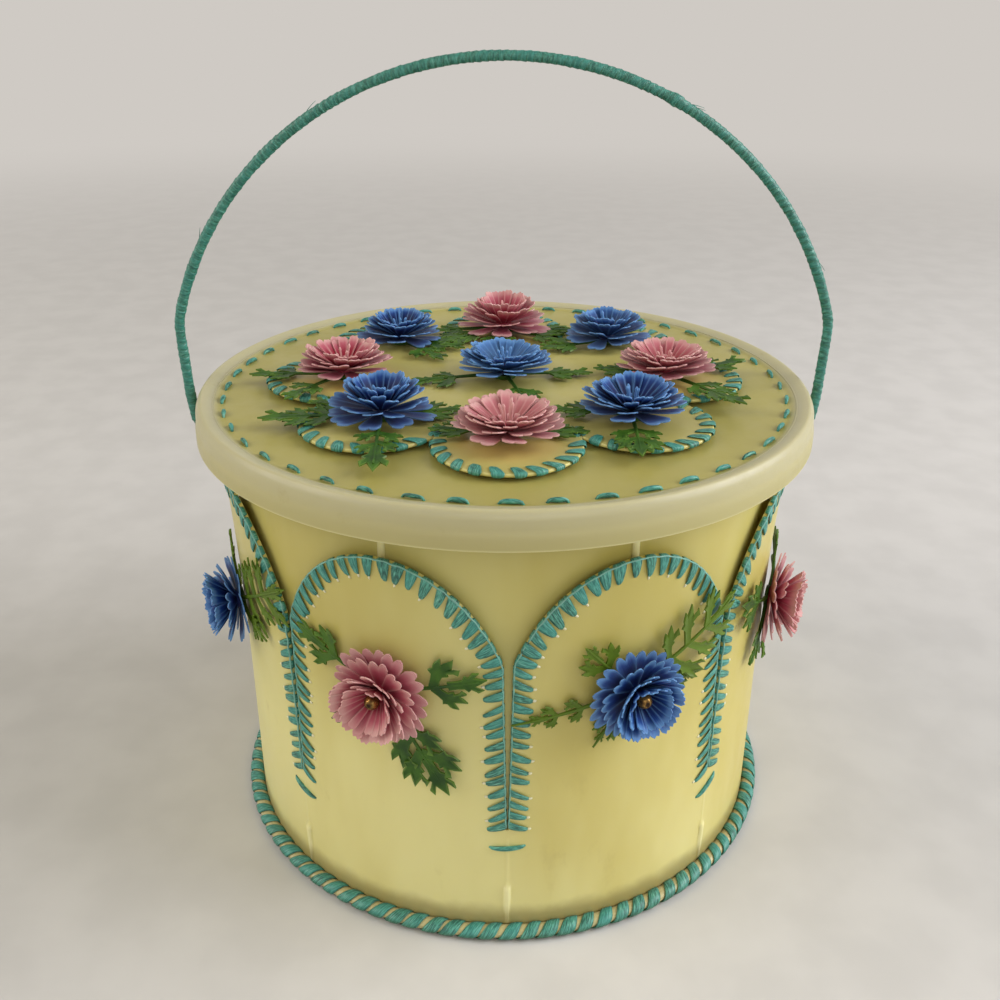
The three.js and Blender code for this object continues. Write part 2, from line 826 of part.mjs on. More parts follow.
function addLidFlower([place, eighths, share, colour, leaves]) {
  const [x, y] = around(share * lidRingRadius, petalPitch * eighths, 0);
  const leafZ = panelHigh + seatGap;
  const bloomZ = leafZ + lidCollarHeight + seatGap;
  const name = `lid_${place}_${colour}`;
  const leafPlace = new THREE.Matrix4().makeTranslation(x, y, leafZ);
  const bloomPlace = new THREE.Matrix4().makeTranslation(x, y, bloomZ);
  add(`${name}_leaves`, leafSpray(leaves, lidCollarHeight), leafGreen(), leafPlace);
  add(`${name}_bloom`, bloom(lidBloomRadius, lidBloomDepth), bloomPlastic(colour), bloomPlace);
}

add('base_disc', baseDisc(), pailYellow());
add('base_edge_raffia', baseRaffia(), raffiaTeal());
add('petal_sleeve', petalSleeve(), pailYellow());
add('inner_pail', innerPail(), pailYellow());
add('lid', lidShell(), lidCream());
add('lid_ring_stitches', lidStitches(), raffiaTeal());
add('lid_scallop_panel', scallopPanel(), lidCream());
add('lid_scallop_raffia', scallopRaffia(), raffiaTeal());
add('bail_wire', bailWire(), steel());
add('bail_raffia_wrap', bailWrap(), raffiaTeal());
for (let index = 0; index < petalCount; index += 1) {
  add(`petal_raffia_${index + 1}`, petalRaffia(index), raffiaTeal());
  addSideFlower(index);
}
lidFlowerShares.forEach(addLidFlower);

export default group;
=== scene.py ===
"""Looks for a lidded handicraft bucket: moulded pails, raffia stitching, plastic flowers and a wrapped bail.

Lengths in the shape code are millimetres until mesh_piece turns them to metres.
Angle 0 is the front of the bucket, which looks along -Y, and angles grow towards its right.
"""
import math

import bmesh
import bpy
import numpy as np
from mathutils import Matrix, Vector
from bpy.props import FloatProperty, FloatVectorProperty, IntProperty, PointerProperty


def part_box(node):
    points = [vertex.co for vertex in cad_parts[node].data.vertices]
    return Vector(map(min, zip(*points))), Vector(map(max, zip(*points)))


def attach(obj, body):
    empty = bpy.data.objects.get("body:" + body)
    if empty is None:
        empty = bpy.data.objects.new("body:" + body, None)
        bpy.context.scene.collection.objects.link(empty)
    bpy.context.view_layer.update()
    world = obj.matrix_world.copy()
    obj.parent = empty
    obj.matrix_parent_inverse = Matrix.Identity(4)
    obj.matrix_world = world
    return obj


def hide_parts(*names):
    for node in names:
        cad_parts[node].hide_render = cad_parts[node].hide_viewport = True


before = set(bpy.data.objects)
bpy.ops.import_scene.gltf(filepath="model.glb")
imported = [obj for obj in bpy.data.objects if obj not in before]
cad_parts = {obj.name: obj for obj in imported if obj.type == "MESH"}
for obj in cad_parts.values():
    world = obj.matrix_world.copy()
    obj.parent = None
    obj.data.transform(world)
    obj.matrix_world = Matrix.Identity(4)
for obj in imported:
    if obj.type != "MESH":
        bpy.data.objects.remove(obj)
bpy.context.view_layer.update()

bl_info = {
    "name": "Lidded craft bucket",
    "version": (1, 0, 0),
    "blender": (4, 5, 0),
    "location": "View3D > Sidebar > Bucket",
    "description": "Builds the pails, raffia, flowers and bail of a lidded craft bucket",
    "category": "Add Mesh",
}

MM = 0.001
TURN = 2 * math.pi


def linear(code):
    """Linear red, green and blue of an sRGB hex value."""
    shares = [int(code[i:i + 2], 16) / 255 for i in (1, 3, 5)]
    return [s / 12.92 if s <= 0.04045 else ((s + 0.055) / 1.055) ** 2.4 for s in shares]


def node_top(node):
    """Height of a CAD node's top in millimetres."""
    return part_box(node)[1].z / MM


def node_low(node):
    """Height of a CAD node's foot in millimetres."""
    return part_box(node)[0].z / MM


# Sizes that come from the frame
LID_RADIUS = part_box("lid")[1].x / MM
LID_TOP = node_top("lid")
SKIRT_BOTTOM = node_low("lid")
BASE_TOP = node_top("base_disc")
FLANGE_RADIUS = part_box("base_disc")[1].x / MM
SLEEVE_FLOOR = node_low("petal_sleeve")
ARCH_TOP = node_top("petal_sleeve")
PAIL_FLOOR = node_low("inner_pail")
RIM_TOP = node_top("inner_pail")
PANEL_LOW = node_low("lid_scallop_panel")
PANEL_HIGH = node_top("lid_scallop_panel")
EAR_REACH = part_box("inner_pail")[1].x / MM

# Outer pail
WALL_BASE_RADIUS = 101.4
WALL_SLOPE = 2.0 / 168.3
WALL = 1.2
NEST_GAP = 0.5
PETALS = 8
PITCH = TURN / PETALS
SLOT_BOTTOM = 44.5
ARCH_RISE = 34.7
ARCH_HALF_TURN = math.radians(60)
SPRING = ARCH_TOP - ARCH_RISE
SLOT_RUN = SPRING - SLOT_BOTTOM
ARCH_DEPTH = ARCH_RISE / (1 - math.cos(ARCH_HALF_TURN))
SLOT_FOOT_HALF = 0.4
SLOT_TOP_HALF = 1.8
FLARE = 2.8
FLARE_SPAN = ARCH_TOP - SLOT_BOTTOM
RIB_LOW = 5.0
RIB_HIGH = 19.7
RIB_TOP_HALF = 1.25
RIB_FOOT_HALF = 0.8
SEAM_HALF = 0.42

# Inner pail and lid
SHOULDER = RIM_TOP - 11.4
SHOULDER_RISE = 4.0
RIB_DROP = 23.0
RIB_ROWS = np.array([-0.1, 0, 0.5, 11, 21, 22])
MOUTH_RADIUS = WALL_BASE_RADIUS + WALL_SLOPE * SHOULDER - WALL - NEST_GAP + 7.0
LID_WALL = 1.3
PLUG_RADIUS = MOUTH_RADIUS - WALL - 0.3
PLUG_INNER = PLUG_RADIUS - LID_WALL
PANEL_TOP = LID_TOP - 2.3
STITCH_RING = PLUG_INNER - 1.7
EAR_HEIGHT = SHOULDER - 10
EAR_RADIUS = 5
EAR_HOLE_DEPTH = 2.9
LOBE_RADIUS = 24.8
LOBE_REACH = PLUG_INNER - 16.8 - LOBE_RADIUS
NOTCH_REACH = 55.5
NOTCH_STITCH = 8.2

# Bail
WIRE = 1.1
FOOT_REACH = EAR_REACH + 1.6
LEG_REACH = FOOT_REACH + 1.6
LEG_HEIGHT = EAR_HEIGHT + 17
BAIL_RADIUS = LEG_REACH + 5.2
BAIL_HEIGHT = EAR_HEIGHT + 14.5
BAIL_START = math.radians(14)

# Base: how far its foot is set in and how high it lifts the flange
FOOT_SET_IN = 7
FOOT_RISE = 1.5

# Heights of what the wall carries, and the tilt of each bar stitch in radians
BAR_HEIGHT = 37.3
BAR_TILTS = (0.45, 0.38, -0.3, 0.1, -0.25, 0.3, -0.28, 0.05)
FLOWER_HEIGHT = 97.0

# How far flowers stand off what carries them: leaves, then blooms over the leaves, then the bead
SIDE_LIFT, SIDE_BLOOM_LIFT, BEAD_LIFT = 0.9, 1.4, 8.7
LID_LIFT, LID_BLOOM_LIFT = 0.3, 1.8
BLOOM_REACH = LOBE_REACH - 3.7

# Where each group's random draws start
SEEDS = {"base": 5, "petal": 100, "holes": 700, "lid": 17, "bail": 29, "side_flower": 300, "lid_flower": 500}

# The floor and backdrop as the camera sees them
PAPER = "#cfcac4"

# The camera as fitted to the photograph: focal length and frame in pixels, the point of the frame that
# the lens is centred on, its turns in degrees, and its place, which was found in lid radii
FOCAL, FRAME = 1075.48, 1000.0
LOOK_X, LOOK_Y = 506.59, 420.26
DOWN, ROLL, YAW = 21.559, 0.316, 0.947
FITTED_LID_RADIUS = 114
CAMERA_PLACE = [v * FITTED_LID_RADIUS * MM for v in (-0.0498, -3.3715, 2.6551)]

# Lamps: name, place, height on the bucket's axis that it is aimed at, size, power and colour
LAMPS = (("lamp_left", (-1.5, -0.25, 1.05), 0.1, 1.2, 14.5, "#fff8ee"),
         ("lamp_right", (1.5, -0.15, 0.95), 0.1, 1.2, 29.5, "#fbfaff"),
         ("lamp_front", (0.3, -2.2, 0.9), 0.08, 1.4, 8, "#fffaf2"))


def draws_of(group, number=0):
    """The random draws of a group's piece, the same each run."""
    return np.random.default_rng(SEEDS[group] + number)


# Whole-array geometry

def around(radius, angle, height):
    """Points at a radius, an angle from the front and a height."""
    return np.stack(np.broadcast_arrays(radius * np.sin(angle), -radius * np.cos(angle), height), -1)


def smooth(x):
    """A smooth step: three x squared less two x cubed, between 0 and 1."""
    x = np.clip(x, 0, 1)
    return x * x * (3 - 2 * x)


def unit(v):
    """Vectors scaled to length one."""
    return v / np.maximum(np.linalg.norm(v, axis=-1, keepdims=True), 1e-12)


def surface(points, wrap=False, caps=False, closed=False, keep=None, **marks):
    """Quads over stacks of grids of points, shaped grids x rows x columns x 3.

    wrap joins the last column to the first, caps closes the first and last rows, closed turns the
    faces outwards by the sign of the enclosed volume, and keep is a mask of the cells to make.
    """
    points = np.asarray(points, float)
    if points.ndim == 3:
        points = points[None]
    grids, rows, columns = points.shape[:3]
    index = np.arange(grids * rows * columns).reshape(grids, rows, columns)
    ring = np.concatenate([index, index[:, :, :1]], 2) if wrap else index
    quads = np.stack([ring[:, :-1, :-1], ring[:, :-1, 1:], ring[:, 1:, 1:], ring[:, 1:, :-1]], -1)
    quads = (quads if keep is None else quads[:, keep]).reshape(-1, 4)
    ends = np.concatenate([index[:, 0, ::-1], index[:, -1]]) if caps else np.zeros((0, 4), int)
    flat = points.reshape(-1, 3)
    if closed:
        a, b, c, d = (flat[quads[:, k]] for k in range(4))
        if np.sum(np.cross(a, b) * c) + np.sum(np.cross(a, c) * d) < 0:
            quads, ends = quads[:, ::-1], ends[:, ::-1]
    marks = {name: np.broadcast_to(np.asarray(mark, float), points.shape[:3]).reshape(-1)
             for name, mark in marks.items()}
    return {"points": flat, "quads": quads, "ends": ends, "marks": marks}


def bare(part):
    """The same surface without its marks."""
    return {**part, "marks": {}}


def marked(part, **marks):
    """The same surface with marks that are equal at all its points."""
    same = {name: np.full(len(part["points"]), mark) for name, mark in marks.items()}
    return {**part, "marks": {**part["marks"], **same}}


def turned(profile, angles, **marks):
    """A profile of radius and height carried round the middle: one row for each profile point."""
    profile = np.asarray(profile, float)
    points = around(profile[:, :1], angles[None], profile[:, 1:])
    return surface(points, wrap=True, closed=True, **marks)


def placed(part, basis, origin):
    """The same surface with its X, Y and Z laid along the rows of basis, at origin."""
    return {**part, "points": part["points"] @ np.asarray(basis) + np.asarray(origin)}


def full_turn(count):
    """Evenly spaced angles of one full turn."""
    return TURN * np.arange(count) / count


def rounded(corners, radii, steps=5):
    """A profile with its corners rounded: each corner becomes a quadratic curve of that size."""
    corners = np.asarray(corners, float)
    out = [corners[:1]]
    t = np.linspace(0, 1, steps + 1)[:, None]
    for before, here, after, radius in zip(corners[:-2], corners[1:-1], corners[2:], radii):
        reach = min(radius, 0.45 * np.linalg.norm(before - here), 0.45 * np.linalg.norm(after - here))
        start = here + reach * unit(before - here)
        end = here + reach * unit(after - here)
        out.append((1 - t) ** 2 * start + 2 * t * (1 - t) * here + t ** 2 * end)
    out.append(corners[-1:])
    return np.concatenate(out)


def mesh_piece(name, parts, body, nodes, material, weld=False, wall=0, offset=-1, sharp=None):
    """Joins surfaces into one object in metres, on a body, standing for CAD nodes.

    weld merges points that lie together, wall is a thickness to give the surface, offset says to which side
    of it, and sharp is the angle in degrees past which an edge is shaded sharp.
    """
    points, quads, ends, start = [], [], [], 0
    names = sorted({mark for part in parts for mark in part["marks"]})
    marks = {mark: [] for mark in names}
    for part in parts:
        points.append(part["points"])
        quads += (part["quads"] + start).tolist()
        ends += (part["ends"] + start).tolist()
        for mark in names:
            marks[mark].append(part["marks"].get(mark, np.zeros(len(part["points"]))))
        start += len(part["points"])
    mesh = bpy.data.meshes.new(name)
    mesh.from_pydata((np.concatenate(points) * MM).tolist(), [], quads + ends)
    for mark in names:
        layer = mesh.attributes.new(mark, "FLOAT", "POINT")
        layer.data.foreach_set("value", np.concatenate(marks[mark]).astype(np.float32))
    mesh.polygons.foreach_set("use_smooth", np.ones(len(mesh.polygons), bool))
    if weld:
        cage = bmesh.new()
        cage.from_mesh(mesh)
        bmesh.ops.remove_doubles(cage, verts=cage.verts, dist=1e-7)
        cage.to_mesh(mesh)
        cage.free()
    mesh.validate()
    made = bpy.data.objects.new(name, mesh)
    bpy.context.scene.collection.objects.link(made)
    if wall:
        shell = made.modifiers.new("wall", "SOLIDIFY")
        shell.thickness = wall * MM
        shell.offset = offset
        bpy.context.view_layer.update()
        graph = bpy.context.evaluated_depsgraph_get()
        made.data = bpy.data.meshes.new_from_object(made.evaluated_get(graph), depsgraph=graph)
        made.modifiers.clear()
    if sharp:
        made.data.set_sharp_from_angle(angle=math.radians(sharp))
    made.data.materials.clear()
    made.data.materials.append(material)
    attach(made, body)
    if nodes:
        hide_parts(*nodes)
    return made


# Materials

# How a value is mapped from one span to another
SMOOTH = {"interpolation_type": "SMOOTHSTEP"}


def add_node(tree, kind, inputs=(), out=0, **settings):
    """Adds a node with its settings, fills or links its inputs in order or by key, and returns an output."""
    made = tree.nodes.new("ShaderNode" + kind)
    for key, value in settings.items():
        setattr(made, key, value)
    for key, value in inputs.items() if isinstance(inputs, dict) else enumerate(inputs):
        socket = made.inputs[key]
        if isinstance(value, bpy.types.NodeSocket):
            tree.links.new(value, socket)
        else:
            socket.default_value = (*value, 1) if socket.type == "RGBA" else value
    return made.outputs[out]


def new_material(name, **constants):
    """A node material with one Principled shader and its constant sockets."""
    made = bpy.data.materials.new(name)
    made.use_nodes = True
    shader = made.node_tree.nodes["Principled BSDF"]
    for key, value in constants.items():
        shader.inputs[key.replace("_", " ")].default_value = value
    return made, made.node_tree, shader


def place(tree, scale=(1, 1, 1)):
    """Places on the piece in metres, times a scale."""
    return add_node(tree, "Mapping", {"Vector": add_node(tree, "TexCoord", out="Object"), "Scale": scale})


def from_axis(tree):
    """Distance from the bucket's axis in metres."""
    return add_node(tree, "VectorMath", [place(tree, (1, 1, 0))], "Value", operation="LENGTH")


def layered(tree, colour, *layers):
    """Lays colours over a colour.

    A layer is a share, or a value with its span and the shares at the span's ends, and then a colour,
    which is linear or an sRGB hex.
    """
    for value, *ends, tone in layers:
        share = add_node(tree, "MapRange", [value, *ends], **SMOOTH) if ends else value
        tone = linear(tone) if isinstance(tone, str) else tone
        colour = add_node(tree, "Mix", {0: share, 6: colour, 7: tone}, 2, data_type="RGBA")
    return colour


def finish(tree, shader, colour, gloss, grain, depth, strength):
    """Links the colour, the roughness and a relief of a real depth in millimetres.

    gloss is a value, its span and the roughness at the span's ends.
    """
    tree.links.new(colour, shader.inputs["Base Color"])
    tree.links.new(add_node(tree, "MapRange", gloss, **SMOOTH), shader.inputs["Roughness"])
    bump = add_node(tree, "Bump", {"Height": grain, "Distance": depth * MM, "Strength": strength})
    tree.links.new(bump, shader.inputs["Normal"])


def moulded_polyethylene(look, name="moulded_yellow_polyethylene", added_shade=0.0):
    """High-density polyethylene, injection moulded: waxy, slightly clear, with soft wide highlights.

    It shows faint flow clouds, a fine satin skin, handling smudges, a painted brown shade near the foot
    where the wall meets the base, ribs painted paler as a highlight on their crests, and a painted shade
    that deepens the yellow towards the top, under the lid, of which the last argument adds more all over.
    """
    made, tree, shader = new_material(name, IOR=1.5, Subsurface_Weight=0.18, Subsurface_Scale=0.004,
                                      Subsurface_Radius=(1.0, 0.8, 0.35))
    # rib is a painted highlight: the ribs and seam are painted paler along their raised crests
    rib, burr = (add_node(tree, "Attribute", out="Fac", attribute_name=mark) for mark in ("rib", "burr"))
    where = place(tree)
    height = add_node(tree, "SeparateXYZ", [where], "Z")
    clouds = add_node(tree, "TexNoise", {"Vector": place(tree, (1, 1, 0.4)), "Scale": 14, "Detail": 4})
    smudges = add_node(tree, "TexNoise", {"Vector": place(tree, (1, 1, 0.5)), "Scale": 55, "Detail": 5,
                                          "Roughness": 0.65})
    skin = add_node(tree, "TexNoise", {"Vector": where, "Scale": 700, "Detail": 3})
    # Painted shade: the wall darkens towards the top, under the lid, and the last argument adds more of it
    upper_shade = add_node(tree, "MapRange", [height, 0.05, 0.12, 0, 0.38], **SMOOTH)
    upper_shade = add_node(tree, "Math", [upper_shade, added_shade], operation="ADD")
    # Painted shade: a ragged brown darkening near the foot, where the wall meets the base
    ragged = add_node(tree, "TexNoise", {"Vector": where, "Scale": 120, "Detail": 4})
    ragged = add_node(tree, "Math", [ragged, 0.004, 0.0075], operation="MULTIPLY_ADD")
    base_contact_shade = add_node(tree, "Math", [height, ragged], operation="DIVIDE")
    base_contact_shade = add_node(tree, "Math", [1.0, base_contact_shade], operation="SUBTRACT")
    colour = layered(tree, look.wall_colour, (clouds, 0.35, 0.7, 0, 1, "#c9bb68"),
                     (smudges, 0.6, 0.8, 0, 0.3, "#a8955a"), (upper_shade, "#a3973f"),
                     (rib, 0, 1, 0, 0.75, "#f0e9ae"), (base_contact_shade, -0.35, 0.35, 0, 0.6, "#7d6a3a"),
                     (burr, 0, 1, 0, 0.85, "#efebc4"))
    finish(tree, shader, colour, (smudges, 0.3, 0.8, 0.33, 0.5), skin, 0.03, 0.5)
    return made


def lid_polyethylene(look):
    """Low-density polyethylene, injection moulded: creamier and milkier than the pail.

    It shows yellowed clouds and smudges, a rim painted paler as a highlight, palest at its top, with a
    clear thin foot, a panel lightened a little all over and more along its rounded edge as a painted
    highlight, and the painted warm light that the pink flowers throw on the panel.
    """
    made, tree, shader = new_material("moulded_cream_polyethylene", IOR=1.5, Subsurface_Weight=0.2,
                                      Subsurface_Scale=0.005, Subsurface_Radius=(1.0, 0.85, 0.45))
    warm, edge = (add_node(tree, "Attribute", out="Fac", attribute_name=mark) for mark in ("warm", "edge"))
    where = place(tree)
    height = add_node(tree, "SeparateXYZ", [where], "Z")
    clouds = add_node(tree, "TexNoise", {"Vector": where, "Scale": 16, "Detail": 4, "Roughness": 0.55})
    smudges = add_node(tree, "TexNoise", {"Vector": where, "Scale": 60, "Detail": 5, "Roughness": 0.7})
    skin = add_node(tree, "TexNoise", {"Vector": where, "Scale": 500, "Detail": 3})
    rim, skirt, foot = (add_node(tree, "MapRange", spread, **SMOOTH) for spread in (
        (from_axis(tree), (PLUG_INNER - 0.8) * MM, (PLUG_INNER + 2.5) * MM, 0, 1),
        (height, (SKIRT_BOTTOM + 1) * MM, (LID_TOP - 1) * MM, 0.45, 1),
        (height, SKIRT_BOTTOM * MM, (SKIRT_BOTTOM + 0.9) * MM, 0.7, 0)))
    # Painted highlight: the rim is painted paler, palest at its top and less down the skirt
    rim_highlight, thin = (add_node(tree, "Math", [rim, low], operation="MULTIPLY") for low in (skirt, foot))
    colour = layered(tree, look.lid_colour, (clouds, 0.35, 0.68, 0, 1, "#aca35a"), (rim_highlight, "#bcb58c"),
                     (thin, "#e6dfa6"), (warm, "#e6bc68"), (edge, "#d8ce82"),
                     (smudges, 0.6, 0.8, 0, 0.3, "#9c8a52"))
    finish(tree, shader, colour, (smudges, 0.3, 0.75, 0.3, 0.48), skin, 0.03, 0.5)
    return made


def raffia_fibre(look, name, worn=0.0):
    """Viscose raffia ribbon, extruded flat and pulled tight: long bright streaks along the strand.

    Streaks are 0.75 mm apart, which is coarser than the real fibre so that they show.
    """
    made, tree, shader = new_material(name, IOR=1.5, Subsurface_Weight=0.08, Subsurface_Scale=0.001,
                                      Subsurface_Radius=(0.5, 1.0, 0.9))
    along, across, own, pale, shade = (add_node(tree, "Attribute", out="Fac", attribute_name=mark)
                                       for mark in ("along", "across", "own", "pale", "shade"))
    lay = add_node(tree, "CombineXYZ", [
        add_node(tree, "Math", [mark, scale], operation="MULTIPLY")
        for mark, scale in ((along, 0.35), (across, 1.35), (own, 31.0))])
    streaks = add_node(tree, "TexNoise", {"Vector": lay, "Scale": 1.0, "Detail": 4, "Roughness": 0.6})
    wear = add_node(tree, "TexNoise", {"Vector": place(tree), "Scale": 90, "Detail": 4, "Roughness": 0.6})
    # pale is a painted highlight, on the thread along the petals' edges
    colour = layered(tree, look.raffia_shade, (streaks, 0.37, 0.6, 0, 1, look.raffia_colour),
                     (streaks, 0.56, 0.76, 0, 0.65, look.raffia_light), (own, 0, 1, 0, 0.4, "#3d9a92"),
                     (wear, 0.55, 0.8, 0, 0.3, "#5c9a7c"), (pale, look.raffia_light))
    if worn:
        colour = layered(tree, colour, (worn, "#1f6152"))
    # shade is painted shade in dark green: under the base ring, down in the slots and where each bail turn
    # tucks under the last
    colour = layered(tree, colour, (shade, "#2d5a34"))
    finish(tree, shader, colour, (streaks, 0.2, 0.9, 0.5, 0.32), streaks, 0.12, 0.8)
    return made


def petal_plastic(name, deep, middle, pale):
    """Soft polyethylene, moulded petal by petal: satin, clear at the thin rims, dark in the cup.

    Fine ribs run along each petal, 0.5 mm apart, dust greys the lowest petals and the sun has bleached
    some flowers.
    """
    made, tree, shader = new_material(name, IOR=1.5, Subsurface_Weight=0.15, Subsurface_Scale=0.002,
                                      Subsurface_Radius=(1.0, 0.6, 0.8), Specular_IOR_Level=0.15)
    along, across, rim, low, own, faded = (add_node(tree, "Attribute", out="Fac", attribute_name=mark)
                                           for mark in ("along", "across", "rim", "low", "own", "faded"))
    patches = add_node(tree, "TexNoise", {"Vector": place(tree), "Scale": 160, "Detail": 3})
    rim, low, along_ribs = (add_node(tree, "Math", [mark, share], operation="MULTIPLY")
                            for mark, share in ((rim, 0.55), (low, 0.35), (along, 0.6)))
    dusty = [0.55 * m + 0.45 * p for m, p in zip(middle, linear("#8d93a0"))]
    colour = layered(tree, deep, (along, 0.22, 0.78, 0, 1, middle), (along, 0.6, 1.02, 0, 1, pale),
                     (rim, pale), (patches, 0.35, 0.75, 0, 0.35, middle), (low, dusty), (faded, pale))
    lay = add_node(tree, "CombineXYZ", [along_ribs, across, own])
    ribs = add_node(tree, "TexNoise", {"Vector": lay, "Scale": 2.0, "Detail": 2})
    finish(tree, shader, colour, (patches, 0.3, 0.7, 0.36, 0.5), ribs, 0.15, 0.7)
    return made


def leaf_plastic(look):
    """Polyethylene leaf, moulded thin: satin olive green, darker in its hollows and lighter at its rims."""
    made, tree, shader = new_material(
        "moulded_leaf_polyethylene", IOR=1.5, Subsurface_Weight=0.08, Subsurface_Scale=0.001,
        Subsurface_Radius=(0.5, 1.0, 0.2), Specular_IOR_Level=0.3)
    rim, light = (add_node(tree, "Attribute", out="Fac", attribute_name=mark) for mark in ("rim", "light"))
    where = place(tree)
    patches = add_node(tree, "TexNoise", {"Vector": where, "Scale": 130, "Detail": 4})
    grain = add_node(tree, "TexNoise", {"Vector": where, "Scale": 900, "Detail": 3})
    colour = layered(tree, look.leaf_shade, (patches, 0.3, 0.7, 0, 1, look.leaf_colour),
                     (rim, 0.5, 1.0, 0, 0.45, "#6f8f3a"), (light, 0, 1, 0, 0.75, "#61791a"))
    finish(tree, shader, colour, (patches, 0.3, 0.7, 0.38, 0.55), grain, 0.08, 0.7)
    return made


def lacquered_bead(look):
    """Lacquered brass bead, pressed and dipped: brown and gold with a small sharp highlight."""
    made, tree, shader = new_material("lacquered_brass_bead", Metallic=0.75)
    shade = add_node(tree, "Attribute", out="Fac", attribute_name="shade")
    patches = add_node(tree, "TexNoise", {"Vector": place(tree), "Scale": 600, "Detail": 3})
    colour = layered(tree, look.bead_colour, (patches, 0.35, 0.7, 0, 1, "#4d3418"), (shade, "#2a1a10"))
    finish(tree, shader, colour, (patches, 0.3, 0.7, 0.2, 0.38), patches, 0.05, 0.4)
    return made


def drawn_steel(look):
    """Galvanised steel wire, drawn: grey, with dull spots."""
    made, tree, shader = new_material("drawn_steel_wire", Metallic=1.0)
    spots = add_node(tree, "TexNoise", {"Vector": place(tree), "Scale": 800, "Detail": 4})
    colour = layered(tree, look.wire_colour, (spots, 0.4, 0.7, 0, 1, "#7e7c74"))
    finish(tree, shader, colour, (spots, 0.3, 0.7, 0.28, 0.5), spots, 0.03, 0.5)
    return made


MATERIALS = {}


def material(name, maker, *values):
    """Makes a material on its first use and keeps it."""
    if name not in MATERIALS:
        MATERIALS[name] = maker(*values)
    return MATERIALS[name]


# Properties that a user would change

def count_property(name, description, default):
    """A property for a number of stitches."""
    return IntProperty(name=name, description=description, default=default, min=4)


def colour_property(name, description, code):
    """A colour property whose default is an sRGB hex value."""
    return FloatVectorProperty(
        name=name, description=description, default=linear(code), min=0, max=1, subtype="COLOR")


def length_property(name, description, millimetres):
    """A length property whose default is given in millimetres."""
    return FloatProperty(
        name=name, description=description, default=millimetres * MM, min=0, unit="LENGTH", precision=5)


class BUCKET_PG_finish(bpy.types.PropertyGroup):
    """Colours of the bucket's finishes."""
    wall_colour: colour_property("Wall", "Polyethylene of the pails", "#e4dc96")
    lid_colour: colour_property("Lid", "Polyethylene of the lid", "#a69d55")
    raffia_colour: colour_property("Raffia", "Lit colour of the raffia", "#539f8c")
    raffia_shade: colour_property("Raffia shade", "Colour between the fibres", "#1d5248")
    raffia_light: colour_property("Raffia light", "Colour of the brightest fibres", "#a6d2c0")
    pink_deep: colour_property("Pink cup", "Pink petals at their foot", "#90182f")
    pink_middle: colour_property("Pink", "Pink petals half way along", "#b65c6c")
    pink_pale: colour_property("Pink rims", "Pink petals at their tips", "#d6a8a2")
    blue_deep: colour_property("Blue cup", "Blue petals at their foot", "#020b40")
    blue_middle: colour_property("Blue", "Blue petals half way along", "#153c84")
    blue_pale: colour_property("Blue rims", "Blue petals at their tips", "#6797ca")
    leaf_colour: colour_property("Leaf", "Leaves where they are lit", "#41691d")
    leaf_shade: colour_property("Leaf shade", "Leaves in their hollows", "#1d420e")
    bead_colour: colour_property("Bead", "Beads in the side flowers", "#a07c42")
    wire_colour: colour_property("Wire", "Steel of the bail", "#a8a9a6")


class BUCKET_PG_raffia(bpy.types.PropertyGroup):
    """Sizes of the stitching and wrapping."""
    strand_width: length_property("Strand width", "Raffia ribbon where it crosses an edge", 4.1)
    strand_thickness: length_property("Strand thickness", "Raffia ribbon, pulled tight", 0.42)
    arch_stitches: count_property("Arch stitches", "Stitches round each arch", 22)
    side_stitches: count_property("Side stitches", "Stitches on each slot side", 14)
    lobe_stitches: count_property("Lobe stitches", "Stitches on each scallop", 12)
    ring_stitches: count_property("Lid stitches", "Running stitches on the lid", 45)
    base_stitches: count_property("Base stitches", "Stitches round the base", 98)
    wrap_pitch: length_property("Wrap pitch", "Turn to turn along the bail", 2.6)


class BUCKET_PG_flowers(bpy.types.PropertyGroup):
    """Sizes of the moulded flowers."""
    petal_thickness: length_property("Petal thickness", "Moulded petal", 0.42)
    leaf_thickness: length_property("Leaf thickness", "Moulded leaf", 0.6)
    bead_radius: length_property("Bead radius", "Bead in a side flower", 2.5)


def looks():
    """The three groups of properties."""
    scene = bpy.context.scene
    return scene.bucket_finish, scene.bucket_raffia, scene.bucket_flowers


# Pails

def wall_radius(height):
    """Outer radius of the outer pail, which widens upwards."""
    return WALL_BASE_RADIUS + WALL_SLOPE * height


def petal_radius(height):
    """Wall radius plus a flare that grows with the cube of the height over the slots' feet."""
    return wall_radius(height) + FLARE * (np.maximum(0, height - SLOT_BOTTOM) / FLARE_SPAN) ** 3


def petal_slope(height):
    """How much the petal's radius grows for each millimetre of height."""
    share = np.maximum(0, height - SLOT_BOTTOM) / FLARE_SPAN
    return WALL_SLOPE + 3 * FLARE * share ** 2 / FLARE_SPAN


def slot_half(height):
    """Half the width of a slot, which tapers downwards."""
    share = np.clip((height - SLOT_BOTTOM) / SLOT_RUN, 0, 1)
    return SLOT_FOOT_HALF + (SLOT_TOP_HALF - SLOT_FOOT_HALF) * share


def column_angle(share, height):
    """Angle from a petal's middle of a column that lies at a share of its half width."""
    return share * (PITCH / 2 - slot_half(height) / petal_radius(height))


ARCH_REACH = (petal_radius(SPRING) * PITCH / 2 - SLOT_TOP_HALF) / math.sin(ARCH_HALF_TURN)


def arch_height(bend):
    """Height of the arch, which is part of an ellipse, at a turn from its crown."""
    return SPRING + ARCH_DEPTH * (np.cos(bend) - math.cos(ARCH_HALF_TURN))


ARCH_BENDS = np.linspace(-ARCH_HALF_TURN, ARCH_HALF_TURN, 181)
ARCH_LINE = np.hypot(np.diff(ARCH_REACH * np.sin(ARCH_BENDS)), np.diff(arch_height(ARCH_BENDS)))
ARCH_RUNS = np.concatenate([[0], np.cumsum(ARCH_LINE)])
ARCH_RUN = ARCH_RUNS[-1]
EDGE_RUN = 2 * SLOT_RUN + ARCH_RUN


